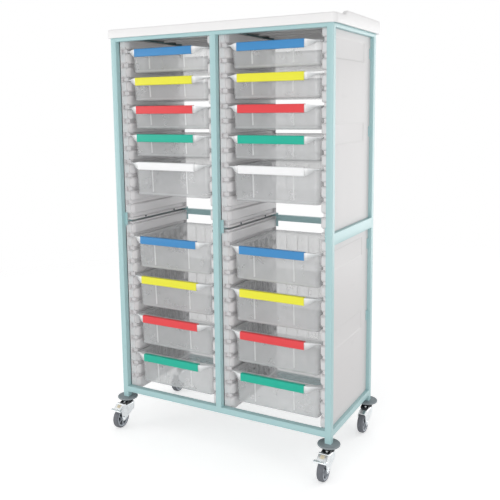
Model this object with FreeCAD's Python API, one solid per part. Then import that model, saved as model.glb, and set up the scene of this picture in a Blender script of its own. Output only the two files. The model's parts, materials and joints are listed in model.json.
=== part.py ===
import FreeCAD, Part
import math
import os

# Tray storage unit on castors: welded square tube frame, moulded worktop, runner panels,
# eighteen clear trays in two columns, four swivel castors. Millimetres, +Z up, the front
# faces -Y. The origin is on the floor, at the centre of the unit's footprint.

Vector = FreeCAD.Vector

# ---- frame -----------------------------------------------------------------------------
frame_width = 855.0
frame_depth = 405.0
post_lift = 110.0             # floor to the bottom end of a corner post
tube = 22.0                   # side of the square tube
tube_wall = 1.5
bottom_rail_lift = 20.0       # bottom end of a corner post to the bottom rails
side_mid_rail_height = 38.0

# ---- worktop ---------------------------------------------------------------------------
top_thickness = 20.0
top_overhang_front = 10.0
top_overhang_side = 12.0
top_overhang_back = 16.0
top_corner_radius = 18.0
skirt_drop = 10.0             # how far the skirt comes down over the frame
skirt_gap = 1.0               # between the skirt and the frame
lip_height = 14.0             # raised lip along the sides and the back
lip_width = 16.0
lip_inner_radius = 6.0
lip_setback = 66.0            # front of the frame to the foot of the lip's ramp
lip_ramp = 30.0

# ---- trays -----------------------------------------------------------------------------
rim_width = 346.0
rim_thickness = 4.0
rim_overhang = 10.0           # rim beyond the tray's body, on each side
rim_front_setback = 27.0      # front of the frame to the rim's straight front edge
rim_front_radius = 10.0
rim_rear_radius = 26.0
rim_stop_gap = 0.5            # rim to the rear stop
shallow_tray_height = 77.0
deep_tray_height = 120.0
tray_wall = 2.2
tray_floor = 2.5
tray_draft = 6.0              # how much the body narrows on each side, top to bottom
tray_corner_radius = 22.0
tray_corner_flat = 11.0       # radius that each flat of a turned corner stands for
tray_front_gap = 12.0         # rim's front edge to the body
tray_rear_gap = 9.0           # body to the rim's rear edge
handle_projection = 20.0      # handle lip in front of the rim's front edge
handle_straight = 244.0       # straight middle of the handle lip
handle_rise = 3.5             # handle lip above the rim
handle_drop = 15.5            # handle lip below the rim's top
handle_wall = 2.5
clip_length = 240.0
clip_wall = 1.8
clip_gap = 0.2                # between the clip and the handle lip
clip_cover = 14.6             # depth of the clip's top leg
clip_hook = 6.0               # depth of the clip's bottom leg

# ---- runner panels ---------------------------------------------------------------------
runner_pitch = 50.0
runner_count = 12             # grooves in each panel
groove_height = 12.0
rim_side_gap = 2.0            # rim to the bottom of the groove, and body to the ridges
rim_rest_gap = 0.3            # tray rim above the ridge that carries it
top_ridge_height = 23.0       # the low ridge above the first groove
ridge_draft = 2.0
ridge_lead_in = 12.0          # length of the ridge's sloping front end
panel_wall = 3.0
panel_fit_gap = 0.3           # panel edges to the tubes beside, above and below them
panel_post_gap = 2.5          # panel's front edge to the front post
rear_stop_length = 2.7
first_rim_drop = 34.0         # underside of the rail above to the first tray's rim
last_rim_rise = 34.0          # bottom rails to a rim in the last groove
last_rim_rise_upper = 52.0    # side mid rails to a rim in the last groove
panel_joint_rise = 20.0       # underside of the mid rails to the joint between the panels
upper_tray_step = 2           # grooves from each upper tray to the next
lower_tray_step = 3

# ---- outer side panels -----------------------------------------------------------------
side_panel_wall = 3.0
side_panel_recess = 13.0      # face of the side frame to the face of the panel
side_panel_gap = 0.5
channel_depth = 1.5           # pressed channels across the panel
channel_height = 70.0
channel_setback = 14.0        # panel's front edge to the channel's front end
channel_rear_setback = 62.0
channel_drops = (57.0, 326.0)  # top of the window to the centre line of each channel

# ---- brackets --------------------------------------------------------------------------
tab_thickness = 3.0
tab_height = 36.0
tab_length = 13.0
stop_plate_width = 10.0
stop_plate_lift = 8.0         # underside of the mid rails to the front stop plates
stop_plate_height = 46.0

# ---- castors ---------------------------------------------------------------------------
wheel_diameter = 75.0
wheel_width = 23.0
castor_trail = 45.0
axle_radius = 3.0
axle_running_gap = 0.08
cheek_thickness = 2.5
cheek_gap = 1.5               # wheel to cheek
cheek_foot_radius = 10.0
cheek_foot_steps = 4          # flats that turn the cheek's foot round the axle
cheek_depth = 26.0            # underside of the crown to the bend in the cheek's rear edge
crown_thickness = 2.5
crown_back = 18.0             # swivel axis to the fork's rear edge
hood_start = 42.0             # swivel axis to the bend where the hood slopes down
hood_reach = 60.0
hood_drop = 8.0
nut_across_flats = 13.0
nut_height = 5.0
bumper_radius = 38.0
bumper_thickness = 14.0
bumper_edge = 5.0             # slope of the bumper's upper edge
plug_gap = 0.2
plug_length = 35.0
head_radius = 18.0
head_height = 11.5
head_gap = 0.3                # castor head to the fork's crown, and crown to the nut
king_pin_radius = 4.0
king_pin_gap = 0.15
king_nut_height = 2.0
pedal_gap = 0.3               # pedal arms to the cheeks
pedal_wall = 2.0
pedal_pivot_radius = 2.0
pedal_pivot_gap = 0.08
pedal_pivot_forward = 36.0    # swivel axis to the pedal's pivot
pedal_pivot_drop = 3.5        # underside of the crown to the pedal's pivot
pedal_arm_half_height = 4.0
pedal_tread_width = 48.0
pedal_tread_start = 64.0      # swivel axis to the tread's rear edge
pedal_tip = 78.0              # swivel axis to the tread's front edge
pedal_tread_lift = 75.0       # floor to the underside of the tread
release_bar_start = 37.0      # swivel axis to the release bar's rear face
release_bar_depth = 10.0
release_bar_height = 6.0
release_bar_gap = 2.3         # crown to the release bar

# ---- places worked out from the sizes above --------------------------------------------
wheel_radius = wheel_diameter / 2
castor_reach = max(castor_trail + wheel_radius, pedal_tip, bumper_radius)
front_edge = min(-top_overhang_front, tube / 2 - castor_reach)
back_edge = frame_depth + max(top_overhang_back, bumper_radius - tube / 2)
front_y = -(front_edge + back_edge) / 2          # Y of the frame's front plane
rear_y = front_y + frame_depth
half_width = frame_width / 2
inner_half = half_width - tube                   # X of the side frames' inner faces
post_x = half_width - tube / 2                   # centre line of the corner posts
column_x = (inner_half + tube / 2) / 2           # centre line of the right column
column_half = (inner_half - tube / 2) / 2        # column centre line to the tube faces
groove_span = (runner_count - 1) * runner_pitch  # first groove to the last
bottom_rail_z = post_lift + bottom_rail_lift
lower_first_rim = bottom_rail_z + tube + last_rim_rise + groove_span
mid_rail_z = lower_first_rim + first_rim_drop
mid_rail_top = mid_rail_z + side_mid_rail_height
upper_first_rim = mid_rail_top + last_rim_rise_upper + groove_span
frame_top = upper_first_rim + first_rim_drop + tube
window_front = front_y + tube
window_rear = rear_y - tube
lower_window = (bottom_rail_z + tube, mid_rail_z)
upper_window = (mid_rail_top, frame_top - tube)
groove_half = rim_width / 2 + rim_side_gap       # column centre line to the groove bottoms
body_half = rim_width / 2 - rim_overhang
ridge_half = body_half + rim_side_gap
panel_front = window_front + panel_post_gap
panel_rear = window_rear - panel_fit_gap
rim_front = front_y + rim_front_setback
rim_rear = panel_rear - rear_stop_length - rim_stop_gap
handle_front = rim_front - handle_projection
crown_top = post_lift - bumper_thickness - head_height - head_gap
crown_under = crown_top - crown_thickness
cheek_inner = wheel_width / 2 + cheek_gap
cheek_outer = cheek_inner + cheek_thickness
pedal_inner = cheek_outer + pedal_gap
pedal_outer = pedal_inner + pedal_wall
castor_places = {
    "front_left": (-post_x, front_y + tube / 2),
    "front_right": (post_x, front_y + tube / 2),
    "rear_left": (-post_x, rear_y - tube / 2),
    "rear_right": (post_x, rear_y - tube / 2),
}

parts = {}


def box(x0, x1, y0, y1, z0, z1):
    """A block between two corners, given in any order."""
    low = Vector(min(x0, x1), min(y0, y1), min(z0, z1))
    return Part.makeBox(abs(x1 - x0), abs(y1 - y0), abs(z1 - z0), low)


def flat_face(points):
    """A flat face through its corner points."""
    return Part.Face(Part.makePolygon(points + [points[0]]))


def prism(points, direction):
    """The flat outline through points, pushed along a direction."""
    return flat_face([Vector(*p) for p in points]).extrude(Vector(*direction))


def skin(sections):
    """A solid through flat sections whose corners pair up and whose paired edges are parallel."""
    sections = [[Vector(*p) for p in section] for section in sections]
    faces = [flat_face(sections[0]), flat_face(sections[-1])]
    for near, far in zip(sections, sections[1:]):
        for i in range(len(near)):
            faces.append(flat_face([near[i - 1], near[i], far[i], far[i - 1]]))
    solid = Part.Solid(Part.Shell(faces))
    if solid.Volume < 0:
        solid.reverse()
    return solid


def rounded_block(x0, x1, y0, y1, z0, z1, front_radius, rear_radius):
    """A block with round upright corners."""
    block = box(x0, x1, y0, y1, z0, z1)
    middle = (y0 + y1) / 2
    upright = [e for e in block.Edges if abs(e.tangentAt(0).z) > 0.5]
    front = [e for e in upright if e.CenterOfMass.y < middle]
    rear = [e for e in upright if e.CenterOfMass.y > middle]
    return block.makeFillet(front_radius, front).makeFillet(rear_radius, [
        e for e in block.makeFillet(front_radius, front).Edges
        if any(e.CenterOfMass.isEqual(r.CenterOfMass, 0.001) for r in rear)])


def disc(radius, x, y, z, height, axis=(0, 0, 1)):
    """A round bar from a centre along an axis."""
    return Part.makeCylinder(radius, height, Vector(x, y, z), Vector(*axis))


def turned(profile, x, y, z, axis):
    """A profile of (radius, height) points turned round an axis through a point."""
    spin = Vector(*axis)
    side = Vector(0, 0, 1) if abs(spin.z) < 0.5 else Vector(1, 0, 0)
    origin = Vector(x, y, z)
    face = flat_face([origin + side * r + spin * h for r, h in profile])
    return face.revolve(origin, spin, 360)


def group(shapes):
    """Separate solids kept in one node."""
    return Part.makeCompound(shapes)


# ---- frame -----------------------------------------------------------------------------
def square_tube(x0, x1, y0, y1, z0, z1, along):
    """A hollow tube, open at both ends, along x, y or z."""
    w = {axis: (0 if axis == along else tube_wall) for axis in "xyz"}
    outer = box(x0, x1, y0, y1, z0, z1)
    inner = box(x0 + w["x"], x1 - w["x"], y0 + w["y"], y1 - w["y"], z0 + w["z"], z1 - w["z"])
    return outer.cut(inner)


def side_frame(centre_x, post_bottom, post_top):
    """Two posts with the top, mid and bottom rails between them."""
    x0 = centre_x - tube / 2
    x1 = centre_x + tube / 2
    posts = [square_tube(x0, x1, y, y + tube, post_bottom, post_top, "z")
             for y in (front_y, window_rear)]
    rails = [(bottom_rail_z, tube), (mid_rail_z, side_mid_rail_height), (frame_top - tube, tube)]
    bars = [square_tube(x0, x1, window_front, window_rear, z, z + high, "y")
            for z, high in rails]
    return group(posts + bars)


def cross_rails():
    """The rails that run from side frame to side frame."""
    bars = []
    for y in (front_y, window_rear):
        for z in (bottom_rail_z, frame_top - tube):
            bars.append(square_tube(-inner_half, inner_half, y, y + tube, z, z + tube, "x"))
    for x0, x1 in ((-inner_half, -tube / 2), (tube / 2, inner_half)):
        bars.append(square_tube(x0, x1, window_rear, rear_y, mid_rail_z, mid_rail_z + tube, "x"))
    return group(bars)


def build_frame():
    """The three ladders and the rails between them."""
    parts["left_side_frame"] = side_frame(-post_x, post_lift, frame_top)
    parts["right_side_frame"] = side_frame(post_x, post_lift, frame_top)
    parts["centre_side_frame"] = side_frame(0, bottom_rail_z + tube, frame_top - tube)
    parts["cross_rails"] = cross_rails()


# ---- worktop ---------------------------------------------------------------------------
def build_worktop():
    """A deck with a skirt over the frame and a raised lip round the sides and the back."""
    edge = half_width + top_overhang_side
    y0 = front_y - top_overhang_front
    y1 = rear_y + top_overhang_back
    deck = frame_top + top_thickness
    lip_top = deck + lip_height
    body = rounded_block(-edge, edge, y0, y1, frame_top - skirt_drop, lip_top,
                         top_corner_radius, top_corner_radius)
    recess = box(-half_width - skirt_gap, half_width + skirt_gap, front_y - skirt_gap,
                 rear_y + skirt_gap, frame_top - skirt_drop, frame_top)
    inside = edge - lip_width
    well = rounded_block(-inside, inside, y0 - top_corner_radius, y1 - lip_width, deck, lip_top,
                         lip_inner_radius, lip_inner_radius)
    foot = front_y + lip_setback
    ramp = prism([(-edge, y0, deck), (-edge, foot, deck), (-edge, foot + lip_ramp, lip_top),
                  (-edge, y0, lip_top)], (2 * edge, 0, 0))
    parts["worktop"] = body.cut([recess, well, ramp]).removeSplitter()


# ---- trays -----------------------------------------------------------------------------
def turned_outline(x, half, y0, y1, z, front_radius, rear_radius, inset=0):
    """A level rectangle drawn in by inset, with each corner turned in a few flats."""
    corners = ((half, y1, rear_radius, 0), (-half, y1, rear_radius, 90),
               (-half, y0, front_radius, 180), (half, y0, front_radius, 270))
    points = []
    for side, y, radius, start in corners:
        centre_x = x + side - math.copysign(radius, side)
        centre_y = y - radius if y == y1 else y + radius
        flats = max(1, round(radius / tray_corner_flat))
        for step in range(flats + 1):
            angle = math.radians(start + 90 * step / flats)
            points.append((centre_x + (radius - inset) * math.cos(angle),
                           centre_y + (radius - inset) * math.sin(angle), z))
    return points


def body_section(x, inset, z):
    """The body's level outline, drawn in by inset."""
    return turned_outline(x, body_half, rim_front + tray_front_gap, rim_rear - tray_rear_gap, z,
                          tray_corner_radius, tray_corner_radius, inset)


def handle_lip(x, rim_z):
    """The lip that the clip snaps on: deep in the middle, drawn to a point at each corner."""
    straight = handle_straight / 2
    corner = rim_width / 2 - rim_front_radius
    stations = ((-corner, rim_front, 0, rim_thickness),
                (-straight, handle_front, handle_rise, handle_drop),
                (straight, handle_front, handle_rise, handle_drop),
                (corner, rim_front, 0, rim_thickness))
    sections = []
    for offset, y, rise, drop in stations:
        back = y + handle_wall
        sections.append([(x + offset, y, rim_z - drop), (x + offset, back, rim_z - drop),
                         (x + offset, back, rim_z + rise), (x + offset, y, rim_z + rise)])
    under = rim_z - rim_thickness
    middle = handle_wall / 2
    flange = prism([(x + offset, y + middle, under) for offset, y, _, _ in stations],
                   (0, 0, rim_thickness))
    return [skin(sections), flange]


def tray(x, rim_z, height):
    """One tray: rim, drafted body and handle lip."""
    bottom = rim_z - height
    rim = prism(turned_outline(x, rim_width / 2, rim_front, rim_rear, rim_z - rim_thickness,
                               rim_front_radius, rim_rear_radius), (0, 0, rim_thickness))
    outer = skin([body_section(x, tray_draft, bottom), body_section(x, 0, rim_z)])
    floor_z = bottom + tray_floor
    floor_inset = tray_draft * (1 - tray_floor / height) + tray_wall
    hollow = skin([body_section(x, floor_inset, floor_z), body_section(x, tray_wall, rim_z)])
    return rim.fuse([outer] + handle_lip(x, rim_z)).cut(hollow).removeSplitter()


def label_clip(x, rim_z):
    """A C-shaped strip that wraps the handle lip from its top edge to its bottom edge."""
    inner_front = handle_front - clip_gap
    inner_top = rim_z + handle_rise + clip_gap
    inner_bottom = rim_z - handle_drop - clip_gap
    front = inner_front - clip_wall
    top = inner_top + clip_wall
    bottom = inner_bottom - clip_wall
    heel = front + clip_cover
    hook = front + clip_hook
    left = x - clip_length / 2
    outline = [(front, bottom), (hook, bottom), (hook, inner_bottom), (inner_front, inner_bottom),
               (inner_front, inner_top), (heel - clip_wall, inner_top),
               (heel - clip_wall, rim_z + clip_gap), (heel, rim_z + clip_gap), (heel, top),
               (front, top)]
    return prism([(left, y, z) for y, z in outline], (clip_length, 0, 0))


def tray_places():
    """(rim height, tray height) of the nine trays of a column, from the top."""
    upper = [shallow_tray_height] * 4 + [deep_tray_height]
    lower = [deep_tray_height] * 4
    places = []
    for first, step, heights in ((upper_first_rim, upper_tray_step, upper),
                                 (lower_first_rim, lower_tray_step, lower)):
        for index, height in enumerate(heights):
            places.append((first - index * step * runner_pitch, height))
    return places


def build_trays():
    """Nine trays and clips in each column, counted from the top."""
    for side, x in (("left", -column_x), ("right", column_x)):
        for number, (rim_z, height) in enumerate(tray_places(), 1):
            parts["%s_tray_%d" % (side, number)] = tray(x, rim_z, height)
            parts["%s_clip_%d" % (side, number)] = label_clip(x, rim_z)


# ---- runner panels ---------------------------------------------------------------------
def ridge(face_x, base_x, z0, z1):
    """A moulded ridge with drafted sides and a sloping front end."""
    y0 = panel_front + panel_wall
    y1 = panel_rear
    d = ridge_draft
    base = [(base_x, y0, z0), (base_x, y1, z0), (base_x, y1, z1), (base_x, y0, z1)]
    slope = y0 + ridge_lead_in
    face = [(face_x, slope, z0 + d), (face_x, y1, z0 + d), (face_x, y1, z1 - d),
            (face_x, slope, z1 - d)]
    return skin([base, face])


def runner_panel(x, outward, first_rim, z0, z1):
    """A pan-shaped panel with a ridge on each side of every groove, hollow from behind.

    outward is +1 or -1, the way from the column's centre line to the panel.
    """
    w = panel_wall
    base = x + outward * groove_half
    face = x + outward * ridge_half
    back = x + outward * (column_half - panel_fit_gap)
    pan = box(base, back, panel_front, panel_rear, z0, z1)
    pan = pan.cut(box(base + outward * w, back, panel_front + w, panel_rear - w, z0 + w, z1 - w))
    rest = first_rim - rim_thickness - rim_rest_gap
    ridges = []
    for index in range(runner_count + 1):
        low = rest - index * runner_pitch + groove_height
        high = low + (runner_pitch - groove_height if index else top_ridge_height)
        ridges.append(ridge(face, base, max(low, z0 + w), high))
    stop = box(face, base, panel_rear - rear_stop_length, panel_rear, z0, z1)
    return pan.fuse(ridges + [stop]).removeSplitter()


def build_runner_panels():
    """An upper and a lower panel on both sides of both columns."""
    joint = mid_rail_z + panel_joint_rise
    spans = ((upper_first_rim, joint + panel_fit_gap, upper_window[1] - panel_fit_gap),
             (lower_first_rim, lower_window[0] + panel_fit_gap, joint))
    for side, way in (("left", -1), ("right", 1)):
        for place, outward in (("outer", way), ("inner", -way)):
            panels = [runner_panel(way * column_x, outward, *span) for span in spans]
            parts["%s_%s_runners" % (side, place)] = group(panels)


# ---- outer side panels and brackets ----------------------------------------------------
def side_panel(sign, window):
    """A flat panel with two pressed channels, recessed in a side frame's window."""
    face = sign * (half_width - side_panel_recess)
    y0 = window_front + side_panel_gap
    y1 = window_rear - side_panel_gap
    sheet = box(face, face - sign * side_panel_wall, y0, y1,
                window[0] + side_panel_gap, window[1] - side_panel_gap)
    channels = []
    for drop in channel_drops:
        z = window[1] - drop
        channels.append(box(face, face - sign * channel_depth, y0 + channel_setback,
                            y1 - channel_rear_setback, z - channel_height / 2,
                            z + channel_height / 2))
    return sheet.cut(channels)


def build_side_panels():
    """Upper and lower outer panels on both sides."""
    windows = (lower_window, upper_window)
    parts["side_panels"] = group([side_panel(sign, w) for sign in (-1, 1) for w in windows])


def panel_tabs(sign):
    """Tabs on a side frame's posts that hold its outer panels."""
    face = sign * (half_width - side_panel_recess)
    tabs = []
    for window in (lower_window, upper_window):
        for drop in channel_drops:
            z = window[1] - drop
            for y, way in ((window_front, 1), (window_rear, -1)):
                tabs.append(box(face, face + sign * tab_thickness, y, y + way * tab_length,
                                z - tab_height / 2, z + tab_height / 2))
    return tabs


def joint_plates(x):
    """Plates on a column's four posts that hold the runner panels at their joint."""
    low = mid_rail_z + stop_plate_lift
    top = low + stop_plate_height
    plates = []
    for outward in (-1, 1):
        post = x + outward * column_half
        for y, z in ((window_front - tab_thickness, low), (window_rear, mid_rail_z + tube)):
            plates.append(box(post, post - outward * stop_plate_width, y, y + tab_thickness,
                              z, top))
    return plates


def build_brackets():
    """Everything small and flat that is welded to the posts."""
    parts["panel_brackets"] = group(panel_tabs(-1) + panel_tabs(1) + joint_plates(-column_x)
                                    + joint_plates(column_x))


# ---- castors ---------------------------------------------------------------------------
def bumper(x, y):
    """A round bumper with a square plug that fills the open end of the post."""
    e = bumper_edge
    t = bumper_thickness
    rim = turned([(0, 0), (bumper_radius, 0), (bumper_radius, t - e), (bumper_radius - e, t),
                  (0, t)], x, y, post_lift - t, (0, 0, 1))
    half = tube / 2 - tube_wall - plug_gap
    plug = box(x - half, x + half, y - half, y + half, post_lift, post_lift + plug_length)
    return rim.fuse(plug)


def hexagon_nut(x, y, z, direction):
    """A nut whose inner face is centred at a point, as high as direction is long."""
    corner = nut_across_flats / math.sqrt(3)
    level = abs(direction[2]) > 0
    points = []
    for angle in range(0, 360, 60):
        u = corner * math.cos(math.radians(angle))
        v = corner * math.sin(math.radians(angle))
        points.append((x + u, y + v, z) if level else (x, y + u, z + v))
    return prism(points, direction)


def castor_head(x, y):
    """The fixed head under the bumper: bearing housing, king pin and the nut on its end."""
    pin_low = head_height + head_gap + crown_thickness + head_gap
    profile = [(0, 0), (head_radius, 0), (head_radius, -head_height),
               (king_pin_radius, -head_height), (king_pin_radius, -pin_low), (0, -pin_low)]
    top = post_lift - bumper_thickness
    nut = hexagon_nut(x, y, top - pin_low, (0, 0, -king_nut_height))
    return turned(profile, x, y, top, (0, 0, 1)).fuse(nut)


def tangent_angle(px, pz, cx, cz, radius, side):
    """The angle round a circle where a line from a point touches it; side is +1 or -1."""
    distance = math.hypot(px - cx, pz - cz)
    return math.atan2(pz - cz, px - cx) + side * math.acos(radius / distance)


def cheek(x_face, sign, y):
    """One side of the fork, from the crown down to a rounded foot at the axle."""
    wheel_y = y - castor_trail
    back = (y + crown_back, crown_under - cheek_depth)
    front = (y - hood_reach, crown_under - hood_drop)
    radius = cheek_foot_radius
    first = tangent_angle(*back, wheel_y, wheel_radius, radius, -1)
    last = tangent_angle(*front, wheel_y, wheel_radius, radius, 1) - 2 * math.pi
    outline = [front, (y - hood_start, crown_under), (y + crown_back, crown_under), back]
    for step in range(cheek_foot_steps + 1):
        angle = first + (last - first) * step / cheek_foot_steps
        outline.append((wheel_y + radius * math.cos(angle),
                        wheel_radius + radius * math.sin(angle)))
    return prism([(x_face, py, pz) for py, pz in outline], (sign * cheek_thickness, 0, 0))


def fork(x, y, braked):
    """Crown, hood and cheeks in one pressing, with the axle riveted in."""
    left = x - cheek_outer
    span = 2 * cheek_outer
    wheel_y = y - castor_trail
    crown = prism([(left, y - hood_start, crown_under), (left, y - hood_start, crown_top),
                   (left, y + crown_back, crown_top), (left, y + crown_back, crown_under)],
                  (span, 0, 0))
    hood = prism([(left, y - hood_start, crown_under), (left, y - hood_start, crown_top),
                  (left, y - hood_reach, crown_top - hood_drop),
                  (left, y - hood_reach, crown_under - hood_drop)], (span, 0, 0))
    cheeks = [cheek(x + sign * cheek_inner, sign, y) for sign in (-1, 1)]
    axle = disc(axle_radius, left, wheel_y, wheel_radius, span, (1, 0, 0))
    nuts = [hexagon_nut(x + sign * cheek_outer, wheel_y, wheel_radius, (sign * nut_height, 0, 0))
            for sign in (-1, 1)]
    holes = [disc(king_pin_radius + king_pin_gap, x, y, crown_under, crown_thickness)]
    if braked:
        holes.append(disc(pedal_pivot_radius + pedal_pivot_gap, left, y - pedal_pivot_forward,
                          crown_under - pedal_pivot_drop, span, (1, 0, 0)))
    return crown.fuse([hood, axle] + cheeks + nuts).cut(holes).removeSplitter()


def wheel(x, y):
    """A wheel bored to run on the axle."""
    bore = axle_radius + axle_running_gap
    profile = [(bore, 0), (wheel_radius, 0), (wheel_radius, wheel_width), (bore, wheel_width)]
    return turned(profile, x - wheel_width / 2, y - castor_trail, wheel_radius, (1, 0, 0))


def brake_pedal(x, y):
    """A pedal whose arms pivot on the cheeks; its tread comes down on the tyre."""
    pivot_y = y - pedal_pivot_forward
    pivot_z = crown_under - pedal_pivot_drop
    h = pedal_arm_half_height
    tread_top = pedal_tread_lift + pedal_wall
    pin = disc(pedal_pivot_radius, x - pedal_inner, pivot_y, pivot_z, 2 * pedal_inner, (1, 0, 0))
    arms = []
    for sign in (-1, 1):
        inner = x + sign * pedal_inner
        arm = prism([(inner, pivot_y + h, pivot_z - h), (inner, pivot_y + h, pivot_z + h),
                     (inner, y - release_bar_start, crown_top + release_bar_gap),
                     (inner, y - release_bar_start - release_bar_depth,
                      crown_top + release_bar_gap),
                     (inner, y - pedal_tread_start, tread_top),
                     (inner, y - pedal_tip, tread_top),
                     (inner, y - pedal_tip, pedal_tread_lift),
                     (inner, pivot_y, pivot_z - h)], (sign * pedal_wall, 0, 0))
        arms.append(arm)
    half = pedal_tread_width / 2
    tread = box(x - half, x + half, y - pedal_tip, y - pedal_tread_start, pedal_tread_lift,
                tread_top)
    bar = box(x - pedal_outer, x + pedal_outer, y - release_bar_start - release_bar_depth,
              y - release_bar_start, crown_top + release_bar_gap,
              crown_top + release_bar_gap + release_bar_height)
    return tread.fuse(arms + [pin, bar]).removeSplitter()


def build_castors():
    """Bumpers and heads on the frame, forks and wheels under them, pedals on the front pair."""
    places = list(castor_places.values())
    parts["bumpers"] = group([bumper(x, y) for x, y in places])
    parts["castor_heads"] = group([castor_head(x, y) for x, y in places])
    for name, (x, y) in castor_places.items():
        braked = name.startswith("front")
        parts[name + "_fork"] = fork(x, y, braked)
        parts[name + "_wheel"] = wheel(x, y)
        if braked:
            parts[name + "_brake"] = brake_pedal(x, y)


build_frame()
build_worktop()
build_trays()
build_runner_panels()
build_side_panels()
build_brackets()
build_castors()

os.makedirs("parts", exist_ok=True)
for name, shape in parts.items():
    shape.exportStep("parts/%s.step" % name)
print(len(parts), "nodes")
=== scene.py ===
import json
import math

import bmesh
import bpy
import numpy as np
from bpy.props import FloatProperty, FloatVectorProperty, PointerProperty
from mathutils import Matrix, Vector


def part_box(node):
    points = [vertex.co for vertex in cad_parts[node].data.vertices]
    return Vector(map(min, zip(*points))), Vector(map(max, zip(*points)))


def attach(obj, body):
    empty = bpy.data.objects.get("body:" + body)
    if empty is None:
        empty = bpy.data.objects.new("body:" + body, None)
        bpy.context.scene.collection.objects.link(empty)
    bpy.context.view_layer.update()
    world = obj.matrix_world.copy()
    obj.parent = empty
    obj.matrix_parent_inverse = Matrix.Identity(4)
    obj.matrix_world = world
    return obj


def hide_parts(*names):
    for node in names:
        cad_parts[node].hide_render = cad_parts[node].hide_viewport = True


# Dresses the packed tray storage unit: painted tube, moulded worktop and runner panels,
# clear trays with coloured clips, and zinc-plated castors. Metres, +Z up, front to -Y.

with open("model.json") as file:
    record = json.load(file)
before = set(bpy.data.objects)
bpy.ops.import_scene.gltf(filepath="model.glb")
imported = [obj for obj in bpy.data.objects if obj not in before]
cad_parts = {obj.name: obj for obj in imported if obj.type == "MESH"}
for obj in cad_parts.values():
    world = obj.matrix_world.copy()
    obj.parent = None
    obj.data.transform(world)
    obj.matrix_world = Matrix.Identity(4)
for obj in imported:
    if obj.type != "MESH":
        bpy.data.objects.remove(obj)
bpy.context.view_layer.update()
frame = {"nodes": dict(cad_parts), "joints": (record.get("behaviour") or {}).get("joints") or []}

bl_info = {
    "name": "Tray storage unit",
    "version": (1, 0, 0),
    "blender": (4, 5, 0),
    "location": "3D View > Sidebar > Tray unit",
    "description": "Builds the finished surfaces and materials of a tray storage unit",
    "category": "Object",
}

X, Y, Z = 0, 1, 2
SIDES = ("left", "right")
TRAY_COUNT = 9
CLIP_ORDER = ("blue", "yellow", "red", "green", "white", "blue", "yellow", "red", "green")
CASTORS = ("front_left", "front_right", "rear_left", "rear_right")

PANEL_JOINT = 0.020        # underside of the mid rails to the joint between the runner panels
PANEL_CLEARANCE = 0.0005   # panels to the rails above and below them
PLATE_EDGE = 0.0004        # radius of the edges of the rear joint plates

# Ribs under the worktop: distance ahead of the rear rail, and share of the rear rib's depth.
UNDERSIDE_RIBS = ((0.008, 1.0), (0.050, 0.35), (0.130, 0.35))

# Pressed channels of an outer panel: their ends from its front and rear edges, and their
# middles below the top of the window.
CHANNEL_FRONT, CHANNEL_REAR = 0.014, 0.062
CHANNEL_DROPS = (0.326, 0.057)

# Shares of a tray's front wall that carry points: four at each of its two lines, two between
# them. The half width of a rib is a share of its side's length.
FRONT_STATIONS = (0.197, 0.205, 0.213, 0.221, 0.4, 0.6, 0.727, 0.735, 0.743, 0.751)
RIB_HALF_SHARE = 0.009

# How frosted the clear plastic looks, from 0 to 1. Above 0.45 the value also paints a highlight:
# the rims, the front wall's lines and the lip's top edge are whitened as if they caught the light.
WALL_FROST, FOOT_FROST, EDGE_FROST, RIM_FROST_AND_HIGHLIGHT = 0.33, 0.45, 0.5, 0.62
LIP_TOP_FROST_AND_HIGHLIGHT, LIP_FROST = 0.92, 0.52
RIB_FROST, LINE_FROST_AND_HIGHLIGHT = 0.16, 0.28   # added to the wall's

# Screws in the runner panels: behind the frame's front, above the joint, and their size.
SCREW_SETBACKS = (0.103, 0.290)
SCREW_RISE, SCREW_RADIUS, SCREW_HEIGHT = 0.012, 0.0038, 0.0022

PEDAL_PIN = 0.0360         # swivel axis to the pin of the brake pedal
AXLE = 0.003               # radius of the axle

# Area lamps: name, place, side and power. All of them face LAMP_TARGET.
LAMPS = (("Front lamp", (0.5, -4.2, 1.1), 2.4, 52), ("Left lamp", (-3.3, -2.3, 1.1), 2.0, 32),
         ("Side lamp", (4.2, -1.2, 0.7), 2.2, 34), ("Rear lamp", (2.1, 3.5, 0.9), 2.2, 38))
LAMP_TARGET = (0, 0, 0.75)
FLOOR_COLOUR = (0.86, 0.86, 0.86)


def srgb(red, green, blue):
    """A colour given as screen values from 0 to 255, as the linear values that shaders use."""
    value = np.array([red, green, blue]) / 255
    linear = np.where(value <= 0.04045, value / 12.92, ((value + 0.055) / 1.055) ** 2.4)
    return tuple(float(part) for part in linear)


def length(name, text, value):
    """A size in metres that the user can change."""
    return FloatProperty(name=name, description=text, default=value, min=0, unit="LENGTH",
                         precision=4)


def colour(name, text, value):
    """A colour that the user can change."""
    return FloatVectorProperty(name=name, description=text, default=value, size=3, min=0, max=1,
                               subtype="COLOR")


# ---- sizes and colours -----------------------------------------------------------------
class FrameSizes(bpy.types.PropertyGroup):
    """The welded square tube frame and the small plates on it."""
    tube: length("Tube", "Side of the square tube", 0.022)
    corner: length("Tube corner", "Radius of the tube's long edges", 0.0016)
    mid_rail: length("Mid rail", "Height of the side frames' mid rail", 0.038)
    first_rim_drop: length("First rim drop", "Rail to the first tray's rim below it", 0.034)
    plate_width: length("Plate width", "Width of the rear joint plates", 0.040)
    plate_rise: length("Plate rise", "How far the rear joint plates reach above the rail", 0.009)
    plate_drop: length("Plate drop", "How far the rear joint plates reach below the rail", 0.022)
    plate: length("Plate", "Thickness of the rear joint plates", 0.003)
    paint: colour("Paint", "Powder coat", srgb(169, 203, 205))


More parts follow.
